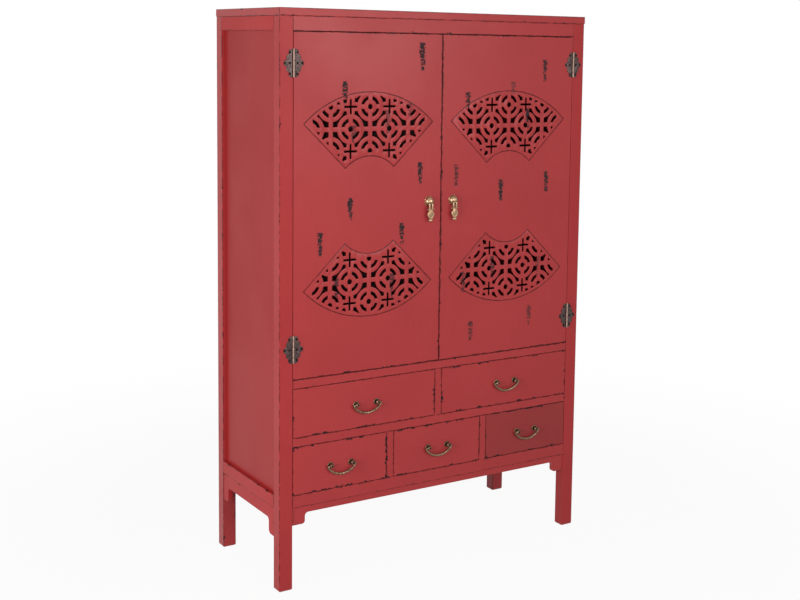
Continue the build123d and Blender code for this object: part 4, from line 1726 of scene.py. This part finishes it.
# ---------------------------------------------------------------- door pulls
@dataclass
class DoorPull:
    """A domed boss and the cast drop that hangs from it."""

    side: Side
    boss_radius: float = 17.0 * MM
    flange: float = 2.2 * MM
    peg_radius: float = 2.5 * MM
    peg_length: float = 14.0 * MM
    pivot_below: float = 8.0 * MM
    pivot_out: float = 13.0 * MM
    prong_inner: float = 2.2 * MM
    prong_outer: float = 8.4 * MM
    prong_radius: float = 3.4 * MM
    prong_length: float = 18.0 * MM
    notch_clearance: float = 1.0 * MM
    bulb_height: float = 33.0 * MM
    bulb_half: float = 12.75 * MM
    body_half_depth: float = 3.4 * MM
    finial_half: float = 8.5 * MM
    finial_height: float = 9.0 * MM
    finial_overlap: float = 2.5 * MM
    wing_half: float = 16.5 * MM
    wing_lift: float = 1.3 * MM
    soft_edge: float = 0.35 * MM
    crease: float = 38.0
    collar_half: float = 7.5 * MM
    collar_share: float = 0.1
    collar_lap: float = 1.2 * MM
    medallion: tuple[float, float] = (7.2 * MM, 10.5 * MM)
    groove_at: float = 0.72
    groove_width: float = 0.16
    groove_depth: float = 0.8
    dish_depth: float = 0.5
    joint_half: tuple[float, float] = (9.0 * MM, 2.4 * MM)
    hollow_tone: float = 0.5
    notch_edge: float = 1.8 * MM
    notch_lip: float = 0.4 * MM
    notch_fade: float = 1.2 * MM
    pin_radius: float = 1.5 * MM
    boss_steps: int = 72
    bulb_steps: int = 64
    bulb_levels: int = 44
    finial_steps: int = 40
    wing_steps: int = 18
    pin_steps: int = 20

    def build(self, brass: bpy.types.Material) -> None:
        """Make the boss and the drop.

        Args:
            brass: The metal that both are cast in.
        """
        label = self.side.label
        low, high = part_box("knob_" + label)
        centre = Vector(((low.x + high.x) / 2, low.y + self.boss_radius, high.z - self.boss_radius))
        settle(self._boss("boss_" + label, centre, brass), "door_" + label,
               "knob_" + label)
        pivot = centre + Vector((0, -self.pivot_out, -self.pivot_below))
        settle(self._drop("pendant_" + label, pivot, brass), "drop_" + label,
               "drop_" + label)

    def _boss(self, name: str, centre: Vector, brass: bpy.types.Material) -> bpy.types.Object:
        """A dome on a flange, notched for the drop, with a tongue and a peg.

        Args:
            name: Name of the piece.
            centre: Middle of the boss on the door's face.
            brass: The metal that it is cast in.

        Returns:
            The boss, not yet riding on anything.
        """
        radius, flange = self.boss_radius, self.flange
        profile = [(0.0, self.peg_length), (self.peg_radius, self.peg_length),
                   (self.peg_radius, 0.0), (radius - 0.8 * MM, 0.0), (radius, -0.5 * flange),
                   (radius - 0.3 * MM, -0.85 * flange), (radius - 1.3 * MM, -flange)]
        dome = radius - 1.1 * MM
        start = math.asin(flange / radius)
        profile += [(dome * math.cos(angle), -radius * math.sin(angle))
                    for angle in sweep(start, math.pi / 2 - start, 18)[1:-1]]
        profile.append((0.0, -radius))
        piece = add_object(name, as_mesh(name, [turned(profile, self.boss_steps)]), brass)
        half = self.prong_outer + self.notch_clearance
        clear = self.prong_radius + self.notch_clearance
        top = clear - self.pivot_below
        back = clear - self.pivot_out
        notch = self._block((-half, -2 * radius, -2 * radius), (half, back, top),
                            self.notch_edge)
        cutter = add_object("notch_cutter", notch)
        cut = piece.modifiers.new("notch", "BOOLEAN")
        cut.object = cutter
        cut.operation = "DIFFERENCE"
        cut.solver = "EXACT"
        rounded(piece, self.soft_edge, self.crease)
        bpy.data.objects.remove(cutter)
        tongue = as_mesh("tongue", [self._tongue(back, top)])
        shape = bmesh.new()
        shape.from_mesh(piece.data)
        shape.from_mesh(tongue)
        bmesh.ops.translate(shape, vec=centre, verts=shape.verts)
        shape.to_mesh(piece.data)
        shape.free()
        piece.data.set_sharp_from_angle(angle=math.radians(self.crease))
        depth = [self._notch_depth(vertex.co - centre, half, back, top)
                 for vertex in piece.data.vertices]
        mark_hollows(piece.data, depth)
        return piece

    def _notch_depth(self, place: Vector, half: float, back: float, top: float) -> float:
        """How far inside the notch a point of the boss lies, from 0 to 1.

        Args:
            place: The point, from the boss's centre.
            half: Half width of the notch.
            back: Y of the notch's back, from the boss's centre.
            top: Z of the notch's top, from the boss's centre.

        Returns:
            How deep it lies.
        """
        lip = self.notch_lip
        inside = min(half - abs(place.x), back + lip - place.y, top + lip - place.z)
        return max(0.0, min(1.0, 0.4 + inside / self.notch_fade))

    @staticmethod
    def _block(low: Sequence[float], high: Sequence[float], radius: float) -> bpy.types.Mesh:
        """A block whose edges are rounded.

        Args:
            low: Its low corner.
            high: Its high corner.
            radius: Radius of its edges.

        Returns:
            The block.
        """
        shape = bmesh.new()
        bmesh.ops.create_cube(shape, size=1.0)
        for vertex in shape.verts:
            for axis in range(3):
                vertex.co[axis] = low[axis] if vertex.co[axis] < 0 else high[axis]
        bmesh.ops.bevel(shape, geom=shape.edges, offset=radius, segments=4, affect="EDGES",
                        profile=0.5)
        return as_mesh("block", [shape])

    def _tongue(self, back: float, top: float) -> bmesh.types.BMesh:
        """The rounded tongue between the prongs, in the boss's own frame.

        Args:
            back: Y of the notch's back, from the boss's centre.
            top: Z of the notch's top, from the boss's centre.

        Returns:
            The tongue.
        """
        rings = []
        half = self.prong_inner - 0.3 * MM
        radius = self.prong_radius - 0.2 * MM
        for x in (-half, -half * 0.7, half * 0.7, half):
            grow = radius - (0.35 * MM if abs(x) == half else 0.0)
            ring = [Vector((x, -self.pivot_out + grow * math.cos(angle),
                            -self.pivot_below + grow * math.sin(angle)))
                    for angle in sweep(math.pi, math.pi, 19)]
            ring.append(Vector((x, back + 1.0 * MM, -self.pivot_below)))
            ring.append(Vector((x, back + 1.0 * MM, top + 1.0 * MM)))
            ring.append(Vector((x, -self.pivot_out - grow, top + 1.0 * MM)))
            rings.append(ring)
        return loft(rings)

    def _drop(self, name: str, pivot: Vector, brass: bpy.types.Material) -> bpy.types.Object:
        """Two prongs, a winged bar, a bulb with a sunk medallion and a finial.

        Args:
            name: Name of the piece.
            pivot: Middle of the pin that it hangs from.
            brass: The metal that it is cast in.

        Returns:
            The drop, not yet riding on anything.
        """
        mesh = as_mesh(name, [self._bulb(), self._finial(), self._wings(), self._pin()]
                       + [self._prong(sign) for sign in (-1, 1)])
        piece = add_object(name, mesh, brass)
        middle = -self.prong_length - self.bulb_height / 2
        hollow = []
        for vertex in mesh.vertices:
            reach = self._medallion_reach(vertex.co.x, vertex.co.z - middle)
            sunk = reach < 1.0 and vertex.co.y < 0
            joint = (abs(vertex.co.x) < self.joint_half[0]
                     and abs(vertex.co.z + self.prong_length) < self.joint_half[1])
            hollow.append(self.hollow_tone if sunk or joint else 0.0)
        mark_hollows(mesh, hollow)
        mesh.transform(Matrix.Translation(pivot))
        shade(mesh, CAST_CREASE)
        return piece

    def _medallion_reach(self, x: float, z: float) -> float:
        """Distance from the medallion's middle as a share of its size."""
        return math.hypot(x / self.medallion[0], z / self.medallion[1])

    def _bulb(self) -> bmesh.types.BMesh:
        """A flattened bulb below a short collar, its front sunk and raised again.

        Returns:
            The bulb, its pivot at the origin.
        """
        rings = []
        top = -self.prong_length + self.collar_lap
        height = self.bulb_height + self.collar_lap
        middle = -self.prong_length - self.bulb_height / 2
        for level in range(self.bulb_levels + 1):
            share = level / self.bulb_levels
            z = top - height * share
            wide = self._bulb_width(share)
            deep = self.body_half_depth * min(1.0, (wide / self.bulb_half) ** 0.5 + 0.1)
            ring = []
            for angle in around(self.bulb_steps):
                x = wide * math.copysign(abs(math.cos(angle)) ** 0.8, math.cos(angle))
                y = deep * math.copysign(abs(math.sin(angle)) ** 0.8, math.sin(angle))
                if y < 0:
                    y += self._relief(self._medallion_reach(x, z - middle))
                ring.append(Vector((x, y, z)))
            rings.append(ring)
        return loft(rings)

    def _bulb_width(self, share: float) -> float:
        """Half width of the bulb at a share of its height from the top.

        Args:
            share: 0 at the top of the collar, 1 at the bulb's foot.

        Returns:
            The half width.
        """
        if share < self.collar_share:
            return self.collar_half * (0.86 + 1.4 * share)
        round_share = (share - self.collar_share) / (1 - self.collar_share)
        swell = math.sin(math.pi * min(1.0, round_share) ** 0.86) ** 0.62
        return max(self.collar_half * (1 - round_share), self.bulb_half * swell, 3.4 * MM)

    def _relief(self, reach: float) -> float:
        """Depth of the medallion: a sunk ring round a raised middle.

        Args:
            reach: Distance from the medallion's middle as a share of its size.

        Returns:
            The depth.
        """
        if reach >= 1.0:
            return 0.0
        groove = math.exp(-((reach - self.groove_at) / self.groove_width) ** 2)
        return (self.groove_depth * groove + self.dish_depth * (1 - reach)) * MM

    def _finial(self) -> bmesh.types.BMesh:
        """A flattened ball below the bulb.

        Returns:
            The ball, the drop's pivot at the origin.
        """
        middle = (-self.prong_length - self.bulb_height - self.finial_height / 2
                  + self.finial_overlap)
        rings = []
        for angle in sweep(0.0, math.pi, 16):
            z = middle + self.finial_height / 2 * math.cos(angle)
            wide = max(self.finial_half * math.sin(angle), 0.05 * MM)
            deep = max(self.body_half_depth * math.sin(angle), 0.05 * MM)
            rings.append([Vector((wide * math.cos(turn), deep * math.sin(turn), z))
                          for turn in around(self.finial_steps)])
        return loft(rings)

    def _wings(self) -> bmesh.types.BMesh:
        """A bar with tapered ends that lift a little and finish in small balls.

        Returns:
            The bar, the drop's pivot at the origin.
        """
        path, radii, points = [], [], 40
        for index in range(points + 1):
            share = 2 * index / points - 1
            x = share * (self.wing_half - 0.3 * MM)
            lift = self.wing_lift * abs(share) ** 3
            path.append(Vector((x, 0.0, -self.prong_length + lift - 0.3 * MM)))
            ball = math.exp(-((abs(share) - 0.93) / 0.06) ** 2)
            end = math.sqrt(max(0.0, 1 - ((abs(share) - 0.9) / 0.1) ** 2)) if abs(share) > 0.9 else 1
            radii.append(max(0.08 * MM, (1.9 - 0.9 * abs(share) + 0.7 * ball) * MM * end))
        return tube(path, radii, self.wing_steps)

    def _prong(self, sign: int) -> bmesh.types.BMesh:
        """One prong, from its rounded knuckle down to the collar.

        Args:
            sign: Side of the drop by the sign of X.

        Returns:
            The prong, the drop's pivot at the origin.
        """
        inner, outer = self.prong_inner, self.prong_outer
        rings = []
        profile = [(self.prong_radius * math.cos(angle), self.prong_radius * math.sin(angle))
                   for angle in sweep(0.0, math.pi, 12)]
        profile += [(-2.9 * MM, -self.prong_length * 0.55), (-2.6 * MM, -self.prong_length),
                    (2.6 * MM, -self.prong_length), (2.9 * MM, -self.prong_length * 0.55)]
        for x, shrink in ((inner, 0.5), (inner + 0.5 * MM, 0.0), (outer - 1.0 * MM, 0.0),
                          (outer - 0.3 * MM, 0.35), (outer, 1.0)):
            ring = []
            for y, z in profile:
                factor = 1 - shrink * MM / math.hypot(y, max(z, 0.0) + 2 * MM)
                ring.append(Vector((sign * x, y * factor, z - (shrink * MM if z > 0 else 0.0))))
            rings.append(ring)
        return loft(rings)

    def _pin(self) -> bmesh.types.BMesh:
        """The pin that joins the prongs through the tongue."""
        path = [Vector((x, 0.0, 0.0)) for x in (-self.prong_outer, 0.0, self.prong_outer)]
        return tube(path, [self.pin_radius] * len(path), self.pin_steps)


# ---------------------------------------------------------------- drawers
@dataclass
class Drawer:
    """One drawer: its front, its box, its two posts and its bail."""

    name: str
    seed: float
    lacquer: Lacquer
    chips: float = 0.54
    spacing: float = 74.0 * MM
    out: float = 10.0 * MM
    rosette_radius: float = 10.5 * MM
    stem_radius: float = 3.6 * MM
    head_radius: float = 6.7 * MM
    eye: float = 2.7 * MM
    eye_edge: float = math.radians(57)
    peg_radius: float = 2.0 * MM
    peg_length: float = 12.0 * MM
    pin_radius: float = 1.6 * MM
    pin_reach: float = 5.0 * MM
    head_gap: float = 0.3 * MM
    rod_radius: float = 4.0 * MM
    rod_taper: float = 0.2
    corner: float = 4.2 * MM
    drop: float = 29.0 * MM
    dish_depth: float = 3.0 * MM
    post_steps: int = 40
    rod_steps: int = 20
    pin_steps: int = 16

    def build(self, shop: Workshop, bronze: bpy.types.Material,
              timber: bpy.types.Material) -> None:
        """Paint the front, stain the box and make the pull.

        Args:
            shop: The shared finishes.
            bronze: The metal of the pull.
            timber: The stain of the box.
        """
        front = self.name + "_front"
        shop.dress(front, self.lacquer.material(shop.effects, "lacquer_" + front,
                                                [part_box(front)], Stroke.ACROSS, self.seed,
                                                self.chips))
        shop.dress(self.name + "_box", timber)
        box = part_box(front)
        x, _, z = box_middle(box)
        middle = Vector((x, box[0].y, z))
        posts = add_object(self.name + "_studs", self._posts(middle), bronze)
        settle(posts, self.name, self.name + "_posts")
        bail = add_object(self.name + "_handle", self._bail(middle), bronze)
        settle(bail, self.name + "_bail", self.name + "_bail")

    def _posts(self, middle: Vector) -> bpy.types.Mesh:
        """Two dished rosettes, each with a stem and a round head whose sunk eye is painted dark as
        shade.

        Args:
            middle: Middle of the drawer's front face.

        Returns:
            Both posts as one mesh.
        """
        head, out = self.head_radius, self.out
        profile = [(0.0, self.peg_length), (self.peg_radius, self.peg_length),
                   (self.peg_radius, 0.0), (self.rosette_radius, 0.0),
                   (self.rosette_radius, -0.9 * MM), (self.rosette_radius - 0.6 * MM, -1.9 * MM),
                   (self.rosette_radius - 1.6 * MM, -2.2 * MM),
                   (self.rosette_radius - 2.8 * MM, -1.7 * MM),
                   (self.stem_radius + 2.0 * MM, -1.1 * MM), (self.stem_radius, -1.5 * MM)]
        start = math.acos(self.stem_radius / head)
        profile += [(head * math.cos(angle), -out - head * math.sin(angle))
                    for angle in sweep(-start, start + self.eye_edge, 14)]
        profile += [(self.eye, -out - head * 0.8), (self.eye - 0.3 * MM, -out - head * 0.55),
                    (0.0, -out - head * 0.45)]
        shapes = []
        for sign in (-1, 1):
            shape = turned(profile, self.post_steps)
            bmesh.ops.translate(shape, vec=middle + Vector((sign * self.spacing / 2, 0, 0)),
                                verts=shape.verts)
            shapes.append(shape)
        mesh = as_mesh(self.name + "_studs", shapes)
        shade(mesh, CAST_CREASE)
        hollow, half_head = [], head * 0.4
        for vertex in mesh.vertices:
            place = vertex.co - middle
            reach = math.hypot(abs(place.x) - self.spacing / 2, place.z)
            forward = -place.y
            in_dish = forward < self.dish_depth and reach < self.rosette_radius - 2.2 * MM
            # Painted shade: the sunk eye gets the darkest tone, standing for the shade inside a
            # hole.
            shaded_eye = forward > out + half_head and reach < self.eye + 0.1 * MM
            behind = self.dish_depth <= forward < out - half_head
            hollow.append(1.0 if shaded_eye else 0.7 if behind or in_dish else 0.0)
        mark_hollows(mesh, hollow)
        return mesh

    def _bail(self, middle: Vector) -> bpy.types.Mesh:
        """A curved bar, thicker in the middle, turned in at both ends to its pins.

        Args:
            middle: Middle of the drawer's front face.

        Returns:
            The bail with its pins.
        """
        pin_x = self.spacing / 2
        corner_x = pin_x + self.head_radius + self.head_gap
        low = self.drop - self.corner
        radius = (corner_x ** 2 + low ** 2 - self.corner ** 2) / (2 * (low - self.corner))
        centre_z = radius - self.drop
        meet = math.atan2(-self.corner - centre_z, corner_x)
        half = [Vector((corner_x + self.corner * math.cos(turn), 0.0,
                        -self.corner + self.corner * math.sin(turn)))
                for turn in sweep(math.pi / 2, meet - math.pi / 2, 10)]
        arc = [Vector((radius * math.cos(turn), 0.0, centre_z + radius * math.sin(turn)))
               for turn in sweep(meet, -math.pi - 2 * meet, 48)[1:-1]]
        rest = [Vector((-point.x, 0.0, point.z)) for point in reversed(half)]
        path = half + arc + rest
        radii = [self.rod_radius * (1.0 - self.rod_taper * min(1.0, abs(point.x) / corner_x) ** 2)
                 for point in path]
        pins = []
        for sign in (-1, 1):
            ends = (sign * (pin_x - self.pin_reach), sign * (corner_x + 1.0 * MM))
            pins.append(tube([Vector((x, 0.0, 0.0)) for x in ends],
                             [self.pin_radius] * len(ends), self.pin_steps))
        mesh = as_mesh(self.name + "_handle", [tube(path, radii, self.rod_steps), *pins])
        mesh.transform(Matrix.Translation(middle + Vector((0.0, -self.out, 0.0))))
        shade(mesh, CAST_CREASE)
        mark_hollows(mesh, [0.0] * len(mesh.vertices))
        return mesh


# ---------------------------------------------------------------- studio
@dataclass(frozen=True)
class Lamp:
    """A square soft lamp that looks at a point."""

    name: str
    place: Place
    target: Place
    size: float
    power: float

    def hang(self) -> None:
        """Put the lamp in the scene."""
        light = bpy.data.lights.new(self.name, "AREA")
        light.shape = "SQUARE"
        light.size = self.size
        light.energy = self.power
        lamp = in_scene(self.name, light)
        lamp.location = self.place
        aim = Vector(self.target) - Vector(self.place)
        lamp.rotation_euler = aim.to_track_quat("-Z", "Y").to_euler()


@dataclass
class Studio:
    """A pale floor, soft lamps and the camera."""

    lamps: tuple[Lamp, ...] = (Lamp("key", (-0.7, -2.9, 1.6), (-0.2, 0.0, 1.5), 1.0, 20.0),
                               Lamp("side", (-3.1, -1.3, 1.2), (0.0, 0.0, 0.9), 1.6, 57.0),
                               Lamp("sheen", (1.55, -4.0, 1.95), (-0.45, 0.0, 1.75), 1.0, 36.0))
    eye: Place = (-2.2642, -3.7516, 1.692)
    heading: float = math.radians(33.5528)
    tilt: float = math.radians(6.2867)
    roll: float = math.radians(0.9165)
    lens: float = 58.548
    shift: tuple[float, float] = (-0.075, -0.1375)
    floor_half: float = 14.0
    floor_tone: Colour = (0.75, 0.75, 0.75)
    shadow_reach: tuple[float, float] = (0.9, 3.0)
    near_white: float = 0.94
    sky: Colour = (0.95, 0.97, 1.0)
    ambient: float = 0.26
    white: Colour = (1.0, 1.0, 1.0)

    def build(self) -> None:
        """Set up the floor, the light and the camera."""
        self._world()
        self._floor()
        for lamp in self.lamps:
            lamp.hang()
        self._camera()
        bpy.context.scene.view_settings.view_transform = "Standard"

    @staticmethod
    def _seen(graph: Graph) -> Value:
        """Whether the camera, a gloss or glass sees the surface: 1 or 0.

        Args:
            graph: The graph that asks.

        Returns:
            1 where it is seen, 0 elsewhere.
        """
        path = graph.add("ShaderNodeLightPath").outputs
        return graph.most(path["Is Camera Ray"],
                          graph.most(path["Is Glossy Ray"], path["Is Transmission Ray"]))

    def _world(self) -> None:
        """An even sky that the camera sees as white."""
        world = bpy.data.worlds.new("studio")
        bpy.context.scene.world = world
        world.use_nodes = True
        world.node_tree.nodes.clear()
        graph = Graph(world.node_tree)
        even = graph.add("ShaderNodeBackground", {0: colour4(self.sky), 1: self.ambient})
        white = graph.add("ShaderNodeBackground", {0: colour4(self.white), 1: 1.0})
        blend = graph.add("ShaderNodeMixShader", {0: self._seen(graph), 1: even.outputs[0],
                                                  2: white.outputs[0]})
        graph.add("ShaderNodeOutputWorld", {0: blend.outputs[0]})

    def _floor(self) -> None:
        """A plain white floor that keeps a soft shadow."""
        mesh = bpy.data.meshes.new("floor")
        far = self.floor_half
        mesh.from_pydata([(-far, -far, 0), (far, -far, 0), (far, far, 0), (-far, far, 0)], [],
                         [(0, 1, 2, 3)])
        material = bpy.data.materials.new("floor")
        material.use_nodes = True
        material.node_tree.nodes.clear()
        graph = Graph(material.node_tree)
        matt = graph.add("ShaderNodeBsdfDiffuse", {"Color": colour4(self.floor_tone)})
        white = graph.add("ShaderNodeEmission", {"Color": colour4(self.white), "Strength": 1.0})
        place = graph.add("ShaderNodeTexCoord").outputs["Object"]
        whiter = graph.ramp(graph.measure("LENGTH", place), *self.shadow_reach, self.near_white, 1.0)
        share = self._seen(graph) * whiter
        surface = graph.add("ShaderNodeMixShader", {0: share, 1: matt.outputs[0],
                                                    2: white.outputs[0]})
        graph.add("ShaderNodeOutputMaterial", {"Surface": surface.outputs[0]})
        add_object("floor", mesh, material)

    def _camera(self) -> None:
        """A long lens at eye height, to the left of the cabinet."""
        camera = bpy.data.cameras.new("camera")
        camera.sensor_width = 36.0
        camera.lens = self.lens
        camera.shift_x, camera.shift_y = self.shift
        holder = in_scene("camera", camera)
        ahead = Vector((math.sin(self.heading) * math.cos(self.tilt),
                        math.cos(self.heading) * math.cos(self.tilt), -math.sin(self.tilt)))
        right = Vector((math.cos(self.heading), -math.sin(self.heading), 0.0))
        down = ahead.cross(right)
        turn, rise = math.cos(self.roll), math.sin(self.roll)
        image_right = right * turn - down * rise
        image_down = right * rise + down * turn
        axes = Matrix((image_right, -image_down, -ahead)).transposed()
        holder.matrix_world = Matrix.Translation(Vector(self.eye)) @ axes.to_4x4()
        bpy.context.scene.camera = holder


DOORS = ((Side.LEFT, LEFT_SCUFFS, 31.0), (Side.RIGHT, RIGHT_SCUFFS, 47.0))
BOX_SEED = 77.0
FRONT_SEED, FRONT_SEED_STEP = 60.0, 3.1
FRONT_CHIP_WIDTH = 5.4 * MM
DARK_FRONT, DARK_TONE, DARK_SHADE = "drawer_lower_3", paint(154, 52, 52), paint(145, 48, 48)


def main() -> None:
    """Build the studio and every sub-assembly, and report each piece."""
    logging.basicConfig(level=logging.INFO, format="%(name)s: %(message)s")
    shop = Workshop()
    Studio().build()
    Carcass().build(shop)
    for side, scuffs, seed in DOORS:
        Door(side, scuffs, seed).build(shop)
    Hinges().build(shop)
    brass = shop.brass.material(shop.effects, "cast_brass", hollows=True)
    for side in Side:
        DoorPull(side).build(brass)
    bronze = shop.bronze.material(shop.effects, "cast_bronze", hollows=True)
    timber = shop.timber.material(shop.effects, "stain_drawer_boxes", Stroke.DEEP,
                                  BOX_SEED)
    drawers = sorted(name for name in frame["bodies"]
                     if name.startswith("drawer_") and not name.endswith("_bail"))
    front_paint = replace(shop.lacquer, chip_width=FRONT_CHIP_WIDTH)
    dark_paint = replace(front_paint, tone=DARK_TONE, shade=DARK_SHADE)
    for index, name in enumerate(drawers):
        coat = dark_paint if name == DARK_FRONT else front_paint
        Drawer(name, FRONT_SEED + FRONT_SEED_STEP * index, coat).build(shop, bronze, timber)


if __name__ == "__main__":
    main()
